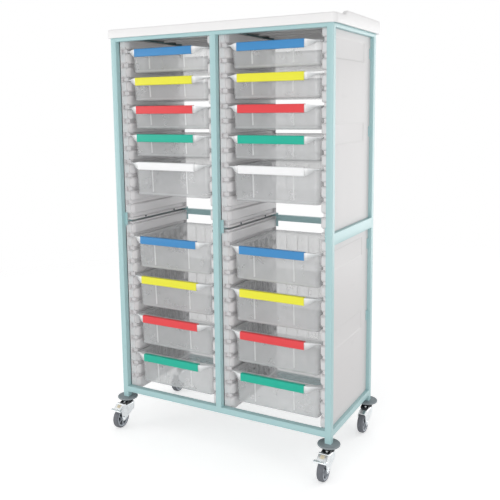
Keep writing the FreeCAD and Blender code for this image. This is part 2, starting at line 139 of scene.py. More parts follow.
class WorktopSizes(bpy.types.PropertyGroup):
    """The moulded worktop with its raised lip."""
    thickness: length("Thickness", "Top of the frame to the deck", 0.020)
    corner: length("Corner", "Radius of the upright corners", 0.018)
    edge: length("Edge", "Radius of the top edges", 0.0045)
    skirt: length("Skirt", "Thickness of the skirt outside the frame", 0.009)
    lip_width: length("Lip width", "Width of the lip", 0.016)
    lip_fall: length("Lip fall", "Width of the lip's inner slope", 0.007)
    lip_setback: length("Lip setback", "Frame's front to the foot of the lip's ramp", 0.066)
    lip_ramp: length("Lip ramp", "Length of the ramp", 0.030)
    rib: length("Rib", "Thickness of the ribs under the worktop", 0.003)
    rib_depth: length("Rib depth", "How far the rear rib reaches down", 0.0225)
    plastic: colour("Plastic", "Moulded plastic", srgb(238, 237, 237))


class RunnerSizes(bpy.types.PropertyGroup):
    """The moulded panels that carry the trays."""
    pitch: length("Pitch", "Groove to groove", 0.050)
    groove: length("Groove", "Height of a groove", 0.012)
    rest: length("Rest", "Rim's top to the bottom of its groove", 0.0043)
    depth: length("Depth", "Ridge face to groove bottom", 0.010)
    nose: length("Nose", "Radius of a ridge's front end", 0.013)
    shoulder: length("Shoulder", "Width of the rounded edge of a ridge", 0.005)
    lead_in: length("Lead-in", "Length of the slope at a ridge's front end", 0.016)
    wall: length("Wall", "Panel's front edge to the ridges", 0.003)
    stop: length("Stop", "Length of the stop at the rear", 0.0027)
    joint_gap: length("Joint gap", "Half the open joint between two panels", 0.0022)
    scallop: length("Scallop", "How far the front edge is set back at a groove", 0.013)
    brow: length("Brow", "Height over which a ridge's front end rounds off", 0.009)
    flange: length("Flange", "Width of the flange beside the front post", 0.003)
    plastic: colour("Plastic", "Moulded plastic", srgb(222, 220, 221))


class SidePanelSizes(bpy.types.PropertyGroup):
    """The outer panels in the side frames."""
    sheet: length("Sheet", "Thickness", 0.003)
    channel: length("Channel", "Depth of the pressed channels", 0.0015)
    channel_height: length("Channel height", "Height of a channel", 0.070)
    slope: length("Slope", "Width of a channel's sloping edge", 0.006)
    plastic: colour("Plastic", "Moulded sheet", srgb(214, 212, 212))


class TraySizes(bpy.types.PropertyGroup):
    """The clear trays."""
    wall: length("Wall", "Thickness of the walls", 0.0022)
    floor: length("Floor", "Thickness of the floor", 0.0025)
    draft: length("Draft", "How far the body narrows on each side", 0.006)
    corner: length("Corner", "Radius of the body's upright corners", 0.022)
    foot: length("Foot", "Radius of the edge round the floor", 0.006)
    rim: length("Rim", "Thickness of the rim", 0.004)
    rim_half: length("Rim half width", "Centre line to the rim's edge", 0.173)
    overhang: length("Overhang", "Rim beyond the body at each side", 0.010)
    front_gap: length("Front gap", "Rim's front edge to the body", 0.012)
    rear_gap: length("Rear gap", "Body to the rim's rear edge", 0.009)
    rim_front: length("Rim front corner", "Radius of the rim's front corners", 0.010)
    rim_rear: length("Rim rear corner", "Radius of the rim's rear corners", 0.026)
    rib: length("Rib", "Height of the upright ribs", 0.0012)
    handle: length("Handle", "Handle lip in front of the rim", 0.020)
    handle_half: length("Handle half length", "Half the straight part of the lip", 0.122)
    handle_rise: length("Handle rise", "Lip above the rim", 0.0035)
    handle_drop: length("Handle drop", "Lip below the rim's top", 0.0205)
    handle_wall: length("Handle wall", "Thickness of the lip", 0.0025)
    clear: colour("Clear plastic", "Colour of the clear plastic's walls", srgb(222, 223, 224))
    # Painted highlight: the near-white that rims, lines and the lip's top edge are mixed towards,
    # along with the plastic's own frosting where it is thick.
    milky_and_highlight: colour("Rim plastic", "Colour of the clear plastic where it is thick",
                  srgb(250, 250, 251))


class ClipSizes(bpy.types.PropertyGroup):
    """The label clips on the trays' handles."""
    half: length("Half length", "Half the length of a clip", 0.120)
    wall: length("Wall", "Thickness", 0.0018)
    gap: length("Gap", "Clip to the handle lip", 0.0002)
    cover: length("Cover", "Depth of the top leg", 0.0146)
    hook: length("Hook", "Depth of the bottom leg", 0.006)
    round: length("Edge", "Radius of the outer edges", 0.0030)
    blue: colour("Blue", "Blue clip", srgb(55, 135, 194))
    yellow: colour("Yellow", "Yellow clip", srgb(233, 229, 52))
    red: colour("Red", "Red clip", srgb(226, 62, 68))
    green: colour("Green", "Green clip", srgb(2, 176, 150))
    white: colour("White", "White clip", srgb(243, 243, 244))


class CastorSizes(bpy.types.PropertyGroup):
    """Bumpers, swivel heads, forks, wheels and brake pedals."""
    bumper: length("Bumper", "Radius of a bumper", 0.038)
    bumper_depth: length("Bumper thickness", "Thickness of a bumper at its rim", 0.0070)
    bumper_edge: length("Bumper edge", "Radius of a bumper's edges", 0.0028)
    head: length("Head", "Radius of a swivel head", 0.018)
    trail: length("Trail", "Swivel axis to the wheel's axle", 0.045)
    wheel: length("Wheel", "Radius of a wheel", 0.0375)
    tread: length("Tread", "Width of a wheel", 0.023)
    hub: length("Hub", "Radius of a wheel's plastic hub", 0.0315)
    cheek_inner: length("Cheek", "Wheel's centre plane to a cheek's inner face", 0.013)
    plate: length("Plate", "Thickness of the fork's plate", 0.0025)
    bend: length("Bend", "Outer radius where crown and cheek meet", 0.0055)
    crown_back: length("Crown back", "Swivel axis to the fork's rear edge", 0.018)
    cheek_depth: length("Cheek depth", "Depth of the cheek's rear edge", 0.026)
    hood_start: length("Hood start", "Swivel axis to the bend of the hood", 0.042)
    hood_reach: length("Hood reach", "Swivel axis to the hood's front edge", 0.060)
    hood_drop: length("Hood drop", "How far the hood slopes down", 0.008)
    foot: length("Foot", "Radius of the cheek round the axle", 0.010)
    nut: length("Nut", "Half the size of the axle nut across its flats", 0.0065)
    nut_height: length("Nut height", "Height of the axle nut", 0.005)
    pedal_tip: length("Pedal tip", "Swivel axis to the pedal's front edge", 0.078)
    tread_start: length("Tread start", "Swivel axis to the rear edge of the tread", 0.064)
    rubber: colour("Bumper rubber", "Grey rubber of the bumpers", srgb(136, 144, 148))
    tyre: colour("Tyre", "Grey rubber of the tyres", srgb(104, 107, 113))
    hub_plastic: colour("Hub plastic", "Grey plastic of the hubs", srgb(178, 184, 192))
    # Painted shade: the near-black that the hubs' recesses are mixed towards, standing in for the
    # shade deep in them.
    hub_recess_painted_shade: colour("Hub recess", "The hubs' plastic deep in its recesses", srgb(40, 42, 46))
    housing: colour("Head housing", "Black plastic of the swivel heads", srgb(30, 33, 36))
    zinc: colour("Zinc", "Bright zinc plate", srgb(226, 229, 231))
    release: colour("Release bar", "Bar that frees the brake", srgb(216, 205, 178))


class StageSettings(bpy.types.PropertyGroup):
    """Camera, lamps, floor and sky."""
    eye: FloatVectorProperty(name="Eye", description="Camera's place", size=3, unit="LENGTH",
                             default=(1.2067, -2.1452, 1.1978))
    turn: FloatProperty(name="Turn", description="Camera's turn from straight ahead",
                        default=math.radians(28.584), subtype="ANGLE")
    tilt: FloatProperty(name="Tilt", description="Camera's tilt below the horizon",
                        default=math.radians(7.946), subtype="ANGLE")
    roll: FloatProperty(name="Roll", description="Camera's roll", subtype="ANGLE",
                        default=math.radians(0.592))
    lens: FloatProperty(name="Lens", description="Focal length in millimetres", default=49.07,
                        min=1)
    shift: FloatProperty(name="Shift", description="Share of the image that the lens shifts",
                         default=-0.09)
    sky: FloatProperty(name="Sky", description="Strength of the even light from all round",
                       default=0.56, min=0)
    floor_start: length("Floor start", "Distance at which the floor starts to thin out", 1.5)
    floor_end: length("Floor end", "Distance at which the floor ends", 4.0)
    floor_glow: FloatProperty(name="Floor glow", description="Light that the camera adds to "
                              "the floor, so that it reads as white", default=0.45, min=0)


GROUPS = {
    "unit_frame": FrameSizes,
    "unit_worktop": WorktopSizes,
    "unit_runners": RunnerSizes,
    "unit_side_panels": SidePanelSizes,
    "unit_trays": TraySizes,
    "unit_clips": ClipSizes,
    "unit_castors": CastorSizes,
    "unit_stage": StageSettings,
}


# ---- places read from the frame --------------------------------------------------------
def corners(node):
    """Lowest and highest corner of a CAD node as arrays."""
    low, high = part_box(node)
    return np.array(low), np.array(high)


def joint_place(name):
    """The point that a joint is placed at."""
    return np.array(next(joint["pos_m"] for joint in frame["joints"] if joint["name"] == name))


def tray_place(side, number):
    """(x, rim's front edge, rim's top, body's lowest z) of a tray."""
    x, y, z = joint_place("%s_tray_slide_%d" % (side, number))
    return x, y, z, corners("%s_tray_%d" % (side, number))[0][Z]


def mid_rail_height():
    """Underside of the mid rails: a little above the first rim of the lower trays."""
    return joint_place("left_tray_slide_6")[Z] + bpy.context.scene.unit_frame.first_rim_drop


# ---- surfaces --------------------------------------------------------------------------
def unit(vector):
    """A vector of length one."""
    return vector / np.linalg.norm(vector)


def smooth_step(share):
    """0 below 0, 1 above 1, and between them the cubic 3t^2 - 2t^3."""
    t = np.clip(share, 0, 1)
    return t * t * (3 - 2 * t)


def rounded_path(path, radii, steps=4, closed=True):
    """A path whose corners are turned by arcs.

    Each arc touches both sides of its corner at radius / tan(half the angle between them),
    and its points are centre + (start sin((1-t)a) + end sin(ta)) / sin(a), for t from 0 to 1.
    """
    path = np.asarray(path, float)
    t = np.linspace(0, 1, steps + 1)[:, None]
    points = []
    for index, (corner, radius) in enumerate(zip(path, radii)):
        if radius == 0 or (not closed and index in (0, len(path) - 1)):
            points.append(corner[None])
            continue
        back = unit(path[index - 1] - corner)
        ahead = unit(path[(index + 1) % len(path)] - corner)
        half = math.acos(np.clip(back @ ahead, -1, 1)) / 2
        centre = corner + unit(back + ahead) * radius / math.sin(half)
        reach = radius / math.tan(half)
        start = corner + back * reach - centre
        end = corner + ahead * reach - centre
        turn = math.pi - 2 * half
        points.append(centre + (np.sin((1 - t) * turn) * start + np.sin(t * turn) * end)
                      / math.sin(turn))
    return np.concatenate(points)


def rectangle(low, high, radius, steps=4):
    """A rounded rectangle as a closed path."""
    path = [(low[0], low[1]), (high[0], low[1]), (high[0], high[1]), (low[0], high[1])]
    return rounded_path(path, [radius] * 4, steps)


def outline(low, high, radii, runs, steps=6):
    """Points anticlockwise round a rectangle, and the way out at each.

    radii belong to the right rear, left rear, left front and right front corners, which are
    quarter circles; runs are the shares of the rear, left, front and right sides that carry
    a point, measured in the direction of travel.
    """
    (x0, y0), (x1, y1) = low, high
    places = ((x1, y1, -1, -1), (x0, y1, 1, -1), (x0, y0, 1, 1), (x1, y0, -1, 1))
    arcs, ways = [], []
    for index, ((x, y, way_x, way_y), radius) in enumerate(zip(places, radii)):
        angle = math.pi / 2 * (index + np.linspace(0, 1, steps + 1))
        out = np.stack([np.cos(angle), np.sin(angle)], -1)
        arcs.append(np.array([x + way_x * radius, y + way_y * radius]) + radius * out)
        ways.append(out)
    points, outward = [], []
    for index, run in enumerate(runs):
        t = np.asarray(run, float)[:, None]
        following = arcs[(index + 1) % 4][0]
        points += [arcs[index], arcs[index][-1] * (1 - t) + following * t]
        outward += [ways[index], np.repeat(ways[index][-1:], len(run), 0)]
    return np.concatenate(points), np.concatenate(outward)


def grid_faces(rows, columns, closed):
    """Quads between neighbouring rows of points; closed joins the end of a row to its start."""
    row = np.arange(rows - 1)[:, None] * columns
    column = np.arange(columns if closed else columns - 1)[None, :]
    following = (column + 1) % columns
    quads = np.stack([row + column, row + following, row + columns + following,
                      row + columns + column], -1)
    return quads.reshape(-1, 4)


def rings(rows):
    """Patches of a tube whose rows are closed loops, with a flat face on each end."""
    count, columns, _ = rows.shape
    loop = np.arange(columns)[None]
    return [(rows.reshape(-1, 3), grid_faces(count, columns, True)), (rows[0], loop),
            (rows[-1], loop)]


def slab(front, back_axis, back):
    """A grid of points closed to a solid: its border runs straight to a flat back."""
    edge = np.concatenate([front[0, :-1], front[:-1, -1], front[-1, :0:-1], front[:0:-1, 0]])
    rear = edge.copy()
    rear[:, back_axis] = back
    rows, columns, _ = front.shape
    sides = np.stack([edge, rear])
    return [(front.reshape(-1, 3), grid_faces(rows, columns, False)),
            (sides.reshape(-1, 3), grid_faces(2, len(edge), True)),
            (rear, np.arange(len(edge))[None])]


def carried(profile, axis, stations):
    """Rows of a closed profile carried straight along an axis; its two coordinates are the
    other two axes in x, y, z order."""
    first, second = (other for other in range(3) if other != axis)
    rows = np.empty((len(stations), len(profile), 3))
    rows[:, :, first] = profile[:, 0]
    rows[:, :, second] = profile[:, 1]
    rows[:, :, axis] = np.asarray(stations)[:, None]
    return rows


def turned(profile, centre, axis, steps):
    """Rows of (radius, height) points turned round an axis: centre + radius (cos a, sin a)
    across the axis and height along it."""
    angle = np.linspace(0, 2 * math.pi, steps, endpoint=False)
    first, second = (other for other in range(3) if other != axis)
    radius, height = np.asarray(profile, float).T
    rows = np.empty((len(radius), steps, 3))
    rows[:, :, first] = centre[first] + radius[:, None] * np.cos(angle)
    rows[:, :, second] = centre[second] + radius[:, None] * np.sin(angle)
    rows[:, :, axis] = centre[axis] + height[:, None]
    return [(rows.reshape(-1, 3), grid_faces(len(radius), steps, True))]


def block(low, high, axis, radius, steps=3):
    """A bar along an axis with rounded long edges."""
    first, second = (other for other in range(3) if other != axis)
    profile = rectangle((low[first], low[second]), (high[first], high[second]), radius, steps)
    return rings(carried(profile, axis, (low[axis], high[axis])))


# ---- pieces ----------------------------------------------------------------------------
def add_piece(name, patches, material, body, replaces=(), sharp=35, bevel=0.0, masks=None):
    """One object from patches of points and faces, merged where they meet, facing outwards.

    masks holds a value for each point under a name that the material reads.
    """
    points = np.concatenate([patch[0] for patch in patches])
    starts = np.cumsum([0] + [len(patch[0]) for patch in patches])
    faces = []
    for (_, indices), start in zip(patches, starts):
        faces += (indices + start).tolist()
    mesh = bpy.data.meshes.new(name)
    mesh.from_pydata(points.tolist(), [], faces)
    for key, values in (masks or {}).items():
        mesh.attributes.new(key, "FLOAT", "POINT").data.foreach_set("value", values)
    shell = bmesh.new()
    shell.from_mesh(mesh)
    bmesh.ops.remove_doubles(shell, verts=shell.verts, dist=2e-6)
    bmesh.ops.recalc_face_normals(shell, faces=shell.faces)
    shell.to_mesh(mesh)
    shell.free()
    mesh.polygons.foreach_set("use_smooth", np.ones(len(mesh.polygons), bool))
    mesh.set_sharp_from_angle(angle=math.radians(sharp))
    mesh.materials.append(material)
    piece = bpy.data.objects.new(name, mesh)
    bpy.context.scene.collection.objects.link(piece)
    if bevel:
        edge = piece.modifiers.new("Rounded edges", "BEVEL")
        edge.width = bevel
        edge.segments = 2
        edge.limit_method = "ANGLE"
        edge.angle_limit = math.radians(sharp)
    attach(piece, body)
    if replaces:
        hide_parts(*replaces)
    return piece


def dress_node(node, material):
    """Gives a CAD node that is shown as it is a better material."""
    slots = frame["nodes"][node].material_slots
    for slot in slots:
        slot.link = "OBJECT"
        slot.material = material


# ---- shader groups ---------------------------------------------------------------------
def shader_group(name, inputs, outputs):
    """An empty shader group with the named inputs (name, kind, default) and outputs."""
    tree = bpy.data.node_groups.new(name, "ShaderNodeTree")
    for label, kind, value in inputs:
        socket = tree.interface.new_socket(label, in_out="INPUT", socket_type=kind)
        if value is not None:
            socket.default_value = value
    for label, kind in outputs:
        tree.interface.new_socket(label, in_out="OUTPUT", socket_type=kind)
    return tree, tree.nodes.new("NodeGroupInput"), tree.nodes.new("NodeGroupOutput")


def add_node(tree, kind, links=None, **settings):
    """A node with its settings, its unlinked inputs set and its linked ones joined."""
    node = tree.nodes.new(kind)
    for key, value in settings.items():
        setattr(node, key, value)
    for key, value in (links or {}).items():
        if isinstance(value, bpy.types.NodeSocket):
            tree.links.new(value, node.inputs[key])
        else:
            node.inputs[key].default_value = value
    return node


def mixed(tree, factor, first, second, blend="MIX"):
    """A colour mixed from two colours."""
    node = add_node(tree, "ShaderNodeMix", {0: factor, 6: first, 7: second}, data_type="RGBA",
                    blend_type=blend)
    return node.outputs[2]


def reshaped(tree, value, low, high, to_low, to_high):
    """A value carried from one range to another, and held at its ends."""
    node = add_node(tree, "ShaderNodeMapRange", {0: value, 1: low, 2: high, 3: to_low,
                                                 4: to_high})
    return node.outputs[0]


def build_tone_group():
    """Slow drift of a colour's tone: colour times a value from 1 - Amount to 1 + Amount."""
    tree, given, result = shader_group(
        "Tone drift",
        [("Place", "NodeSocketVector", None), ("Color", "NodeSocketColor", (1, 1, 1, 1)),
         ("Scale", "NodeSocketFloat", 6.0), ("Amount", "NodeSocketFloat", 0.03)],
        [("Color", "NodeSocketColor")])
    noise = add_node(tree, "ShaderNodeTexNoise", {"Vector": given.outputs["Place"],
                                                  "Scale": given.outputs["Scale"],
                                                  "Detail": 4.0, "Roughness": 0.6})
    low = add_node(tree, "ShaderNodeMath", {0: 1.0, 1: given.outputs["Amount"]},
                   operation="SUBTRACT")
    high = add_node(tree, "ShaderNodeMath", {0: 1.0, 1: given.outputs["Amount"]},
                    operation="ADD")
    tone = reshaped(tree, noise.outputs[0], 0.3, 0.7, low.outputs[0], high.outputs[0])
    tree.links.new(mixed(tree, 1.0, given.outputs["Color"], tone, "MULTIPLY"),
                   result.inputs["Color"])
    return tree


def build_grain_group():
    """Fine grain: noise as a height, and the same noise spreading the roughness."""
    tree, given, result = shader_group(
        "Fine grain",
        [("Place", "NodeSocketVector", None), ("Grain", "NodeSocketFloat", 900.0),
         ("Roughness", "NodeSocketFloat", 0.4), ("Spread", "NodeSocketFloat", 0.05)],
        [("Roughness", "NodeSocketFloat"), ("Height", "NodeSocketFloat")])
    noise = add_node(tree, "ShaderNodeTexNoise", {"Vector": given.outputs["Place"],
                                                  "Scale": given.outputs["Grain"],
                                                  "Detail": 2.0})
    spread = add_node(tree, "ShaderNodeMath", {0: noise.outputs[0], 1: 0.5},
                      operation="SUBTRACT")
    rough = add_node(tree, "ShaderNodeMath", {0: spread.outputs[0],
                                              1: given.outputs["Spread"],
                                              2: given.outputs["Roughness"]},
                     operation="MULTIPLY_ADD")
    tree.links.new(rough.outputs[0], result.inputs["Roughness"])
    tree.links.new(noise.outputs[0], result.inputs["Height"])
    return tree


def build_rub_group():
    """Rub marks: noise drawn out along one axis and cut to its peaks, where patches allow."""
    tree, given, result = shader_group(
        "Rub marks",
        [("Place", "NodeSocketVector", None), ("Stretch", "NodeSocketVector", (1, 1, 1)),
         ("Scale", "NodeSocketFloat", 60.0), ("Amount", "NodeSocketFloat", 0.5)],
        [("Mask", "NodeSocketFloat")])
    drawn = add_node(tree, "ShaderNodeVectorMath", {0: given.outputs["Place"],
                                                    1: given.outputs["Stretch"]},
                     operation="MULTIPLY")
    lines = add_node(tree, "ShaderNodeTexNoise", {"Vector": drawn.outputs[0],
                                                  "Scale": given.outputs["Scale"],
                                                  "Detail": 3.0, "Roughness": 0.7})
    patches = add_node(tree, "ShaderNodeTexNoise", {"Vector": given.outputs["Place"],
                                                    "Scale": 9.0, "Detail": 1.0})
    peaks = reshaped(tree, lines.outputs[0], 0.58, 0.72, 0.0, 1.0)
    where = reshaped(tree, patches.outputs[0], 0.48, 0.66, 0.0, given.outputs["Amount"])
    mask = add_node(tree, "ShaderNodeMath", {0: peaks, 1: where}, operation="MULTIPLY")
    tree.links.new(mask.outputs[0], result.inputs["Mask"])
    return tree


def shared_group(name, build):
    """A shader group by name, built the first time that it is asked for."""
    return bpy.data.node_groups.get(name) or build()


def use_group(tree, name, build, links):
    """A shared group placed in a material with its own values."""
    return add_node(tree, "ShaderNodeGroup", links, node_tree=shared_group(name, build))


# ---- materials -------------------------------------------------------------------------
def with_alpha(value):
    """A colour with full alpha, as sockets want it."""
    return (*value, 1.0)


def surface_material(name, value, tone=(6.0, 0.03), grain=(900.0, 0.4, 0.08), bump=0.05,
                     rub=None, rub_colour=None, **constants):
    """A Principled material whose colour drifts, whose gloss and height have a grain, and
    which may carry rub marks.

    tone is (scale, amount), grain (scale, roughness, spread) and rub (stretch, scale,
    amount); constants are set on the shader's own sockets.
    """
    found = bpy.data.materials.get(name)
    if found:
        return found
    material = bpy.data.materials.new(name)
    material.use_nodes = True
    tree = material.node_tree
    shader = tree.nodes["Principled BSDF"]
    place = tree.nodes.new("ShaderNodeTexCoord").outputs["Object"]
    drift = use_group(tree, "Tone drift", build_tone_group,
                      {"Place": place, "Color": with_alpha(value), "Scale": tone[0],
                       "Amount": tone[1]})
    texture = use_group(tree, "Fine grain", build_grain_group,
                        {"Place": place, "Grain": grain[0], "Roughness": grain[1],
                         "Spread": grain[2]})
    finish = drift.outputs["Color"]
    gloss = texture.outputs["Roughness"]
    if rub:
        marks = use_group(tree, "Rub marks", build_rub_group,
                          {"Place": place, "Stretch": rub[0], "Scale": rub[1],
                           "Amount": rub[2]}).outputs["Mask"]
        finish = mixed(tree, marks, finish, with_alpha(rub_colour or value))
        gloss = add_node(tree, "ShaderNodeMath", {0: marks, 1: 0.25, 2: gloss},
                         operation="MULTIPLY_ADD").outputs[0]
    relief = add_node(tree, "ShaderNodeBump", {"Height": texture.outputs["Height"],
                                               "Strength": bump, "Distance": 0.0004})
    tree.links.new(finish, shader.inputs["Base Color"])
    tree.links.new(gloss, shader.inputs["Roughness"])
    tree.links.new(relief.outputs[0], shader.inputs["Normal"])
    for key, amount in constants.items():
        shader.inputs[key.replace("_", " ")].default_value = amount
    return material


def paint_material():
    """Smooth powder coat with a slight orange peel."""
    return surface_material("Powder coat", bpy.context.scene.unit_frame.paint,
                            tone=(3.0, 0.02), grain=(420.0, 0.34, 0.10), bump=0.10,
                            rub=((1.0, 1.0, 0.12), 70.0, 0.25),
                            rub_colour=srgb(190, 214, 215))


def zinc_material():
    """Bright zinc plate with a faint rolled grain."""
    return surface_material("Zinc plate", bpy.context.scene.unit_castors.zinc,
                            tone=(60.0, 0.10), grain=(500.0, 0.26, 0.20), bump=0.12,
                            rub=((0.2, 1.0, 1.0), 300.0, 0.35), rub_colour=srgb(168, 172, 176),
                            Metallic=1.0)


def housing_material():
    """Black moulded plastic of the castors' housings."""
    return surface_material("Black housing", bpy.context.scene.unit_castors.housing,
                            tone=(20.0, 0.08), grain=(900.0, 0.34, 0.15), bump=0.10)


def hub_material():
    """Grey plastic of the hubs, with painted shade: dark where the piece's own mask says that it
    lies deep in a recess.
    """
    found = bpy.data.materials.get("Hub plastic")
    if found:
        return found
    sizes = bpy.context.scene.unit_castors
    material = surface_material("Hub plastic", sizes.hub_plastic, tone=(30.0, 0.05),
                                grain=(900.0, 0.42, 0.12), bump=0.12)
    tree = material.node_tree
    shader = tree.nodes["Principled BSDF"]
    deep = add_node(tree, "ShaderNodeAttribute", attribute_name="deep").outputs["Fac"]
    drift = shader.inputs["Base Color"].links[0].from_socket
    # Painted shade: the colour is mixed to near-black by how deep the point lies in the recess.
    tree.links.new(mixed(tree, deep, drift, with_alpha(sizes.hub_recess_painted_shade)),
                   shader.inputs["Base Color"])
    return material


def clear_material():
    """Clear tray plastic: see-through walls, and rims, ribs and edges that catch the light.

    The piece's own mask says how frosted the plastic is at a point; where it is high, the colour is
    also whitened as a painted highlight.
    """
    found = bpy.data.materials.get("Clear plastic")
    if found:
        return found
    sizes = bpy.context.scene.unit_trays
    material = surface_material("Clear plastic", sizes.clear, tone=(14.0, 0.05),
                                grain=(260.0, 0.16, 0.12), bump=0.10, IOR=1.49)
    tree = material.node_tree
    shader = tree.nodes["Principled BSDF"]
    dense = add_node(tree, "ShaderNodeAttribute", attribute_name="frost").outputs["Fac"]
    # Painted highlight: the more frosted points are whitened towards the near-white colour.
    milky_and_highlight = reshaped(tree, dense, 0.45, 0.95, 0.0, 1.0)
    drift = shader.inputs["Base Color"].links[0].from_socket
    tree.links.new(mixed(tree, milky_and_highlight, drift, with_alpha(sizes.milky_and_highlight)),
                   shader.inputs["Base Color"])
    glance = add_node(tree, "ShaderNodeLayerWeight", {"Blend": 0.35}).outputs["Facing"]
    edge = reshaped(tree, glance, 0.45, 1.0, 0.0, 0.30)
    alpha = add_node(tree, "ShaderNodeMath", {0: dense, 1: edge}, operation="ADD",
                     use_clamp=True)
    tree.links.new(alpha.outputs[0], shader.inputs["Alpha"])
    return material


# ---- frame -----------------------------------------------------------------------------
class UNIT_OT_frame(bpy.types.Operator):
    """Square tubes with rounded long edges: a rounded square carried along each tube"""
    bl_idname = "tray_unit.frame"
    bl_label = "Frame tubes"

    def execute(self, context):
        sizes = context.scene.unit_frame
        material = paint_material()
        low, high = corners("left_side_frame")
        rails_low = corners("cross_rails")[0]
        mid = mid_rail_height()
        bottom, top = rails_low[Z], high[Z]
        inner = (bottom + sizes.tube - sizes.corner, top - sizes.tube + sizes.corner)
        for name, node, span in (("left_ladder", "left_side_frame", (low[Z], top)),
                                 ("centre_ladder", "centre_side_frame", inner),
                                 ("right_ladder", "right_side_frame", (low[Z], top))):
            ladder = ladder_patches(*corners(node), span, sizes, bottom, mid, top)
            add_piece(name, ladder, material, "cabinet", [node])
        patches = []
        inside = low[X] + sizes.tube - sizes.corner
        for y in (low[Y], high[Y] - sizes.tube):
            for z in (rails_low[Z], high[Z] - sizes.tube):
                patches += block((inside, y, z), (-inside, y + sizes.tube, z + sizes.tube), X,
                                 sizes.corner)
        post = sizes.tube / 2 - sizes.corner
        for x0, x1 in ((inside, -post), (post, -inside)):
            patches += block((x0, high[Y] - sizes.tube, mid), (x1, high[Y], mid + sizes.tube),
                             X, sizes.corner)
        add_piece("long_rails", patches, material, "cabinet", ["cross_rails"])
        y = high[Y] - sizes.tube
        plates = []
        for edge, way in ((inside - sizes.corner, 1), (-sizes.tube / 2, -1),
                          (sizes.tube / 2, 1), (sizes.corner - inside, -1)):
            x0, x1 = sorted((edge, edge + way * sizes.plate_width))
            rail_top = mid + sizes.tube
            for z0, z1 in ((mid - sizes.plate_drop, mid),
                           (rail_top, rail_top + sizes.plate_rise)):
                plates += block((x0, y, z0), (x1, y + sizes.plate, z1), Z, PLATE_EDGE)
        add_piece("rear_joint_plates", plates, material, "cabinet")
        dress_node("panel_brackets", material)
        return {"FINISHED"}


def ladder_patches(low, high, span, sizes, bottom, mid, top):
    """Two posts over a span of heights, and the bottom, mid and top rails whose ends run into
    the posts' edges."""
    tube, corner = sizes.tube, sizes.corner
    patches = []
    for y in (low[Y], high[Y] - tube):
        patches += block((low[X], y, span[0]), (high[X], y + tube, span[1]), Z, corner)
    y0 = low[Y] + tube - corner
    y1 = high[Y] - tube + corner
    for z, height in ((bottom, tube), (mid, sizes.mid_rail), (top - tube, tube)):
        patches += block((low[X], y0, z), (high[X], y1, z + height), Y, corner)
    return patches


# ---- worktop ---------------------------------------------------------------------------
def lip_height(y, foot, ramp, height):
    """How high the lip stands at a depth y: a smooth step over the ramp."""
    return height * smooth_step((y - foot) / ramp)


def worktop_rows(sizes, low, high, frame_front):
    """Closed rows over the worktop, from under the skirt, up the outside, over the lip and
    down to the deck. A row's height is deck + lip(y) * fall(inset) - edge(inset), where edge
    is the quarter circle r - sqrt(r^2 - (r - inset)^2) and fall a smooth step down."""
    deck = high[Z] - (high[Z] - low[Z] - sizes.thickness - 0.010)
    under = low[Z] + 0.010
    lip = high[Z] - deck
    runs = [np.linspace(0, 1, count + 1)[1:-1] for count in (30, 90, 30, 90)]
    t = np.linspace(0, math.pi / 2, 5)
    edge_insets = sizes.edge * (1 - np.cos(t[1:]))
    flat_end = sizes.lip_width - 0.004
    insets = np.concatenate([edge_insets, np.linspace(sizes.edge + 0.001, flat_end, 3),
                             flat_end + (sizes.lip_fall + 0.004) * np.linspace(0.1, 1, 9),
                             [0.045]])
    rows = []

    def row(inset, z):
        radius = max(sizes.corner - inset, 0.006)
        points, _ = outline(low[:2] + inset, high[:2] - inset, [radius] * 4, runs)
        rows.append(np.column_stack([points, np.broadcast_to(z, len(points))
                                     if np.isscalar(z) else z(points[:, 1])]))

    def top(inset):
        fall = 1 - smooth_step((inset - flat_end) / (sizes.lip_fall + 0.004))
        drop = sizes.edge - math.sqrt(max(sizes.edge ** 2 - max(sizes.edge - inset, 0) ** 2, 0))
        return lambda y: (deck - drop + fall * lip_height(y, frame_front + sizes.lip_setback,
                                                          sizes.lip_ramp, lip))

    row(sizes.skirt, under)
    row(sizes.skirt, low[Z] + 0.0015)
    row(sizes.skirt - 0.0015, low[Z])
    for angle in t:
        row(0.002 * (1 - math.sin(angle)), low[Z] + 0.002 * (1 - math.cos(angle)))
    row(0, top(0))
    for inset in insets:
        row(inset, top(inset))
    return np.stack(rows)


def underside_ribs(sizes):
    """Ribs across the underside, inside the frame: a deep one ahead of the rear rail and two
    shallow ones in front of it."""
    high = corners("left_side_frame")[1]
    tube = bpy.context.scene.unit_frame.tube
    top = high[Z] + 0.001
    patches = []
    for side in SIDES:
        x = joint_place(side + "_tray_slide_1")[X]
        reach = corners("right_outer_runners")[0][X] - joint_place("right_tray_slide_1")[X]
        for ahead, drop in UNDERSIDE_RIBS:
            y = high[Y] - tube - ahead
            patches += block((x - reach, y, top - sizes.rib_depth * drop),
                             (x + reach, y + sizes.rib, top), X, 0.0006)
    return patches


class UNIT_OT_worktop(bpy.types.Operator):
    """Moulded worktop: closed rows round the outline, whose height follows the lip's ramp"""
    bl_idname = "tray_unit.worktop"
    bl_label = "Worktop"

    def execute(self, context):
        sizes = context.scene.unit_worktop
        low, high = corners("worktop")
        rows = worktop_rows(sizes, low, high, corners("left_side_frame")[0][Y])
        material = surface_material("Worktop plastic", sizes.plastic, tone=(2.5, 0.015),
                                    grain=(1400.0, 0.42, 0.10), bump=0.16,
                                    rub=((1.0, 0.15, 1.0), 40.0, 0.30),
                                    rub_colour=srgb(230, 228, 228))
        add_piece("worktop_moulding", rings(rows) + underside_ribs(sizes), material, "cabinet",
                  ["worktop"], sharp=50)
        return {"FINISHED"}


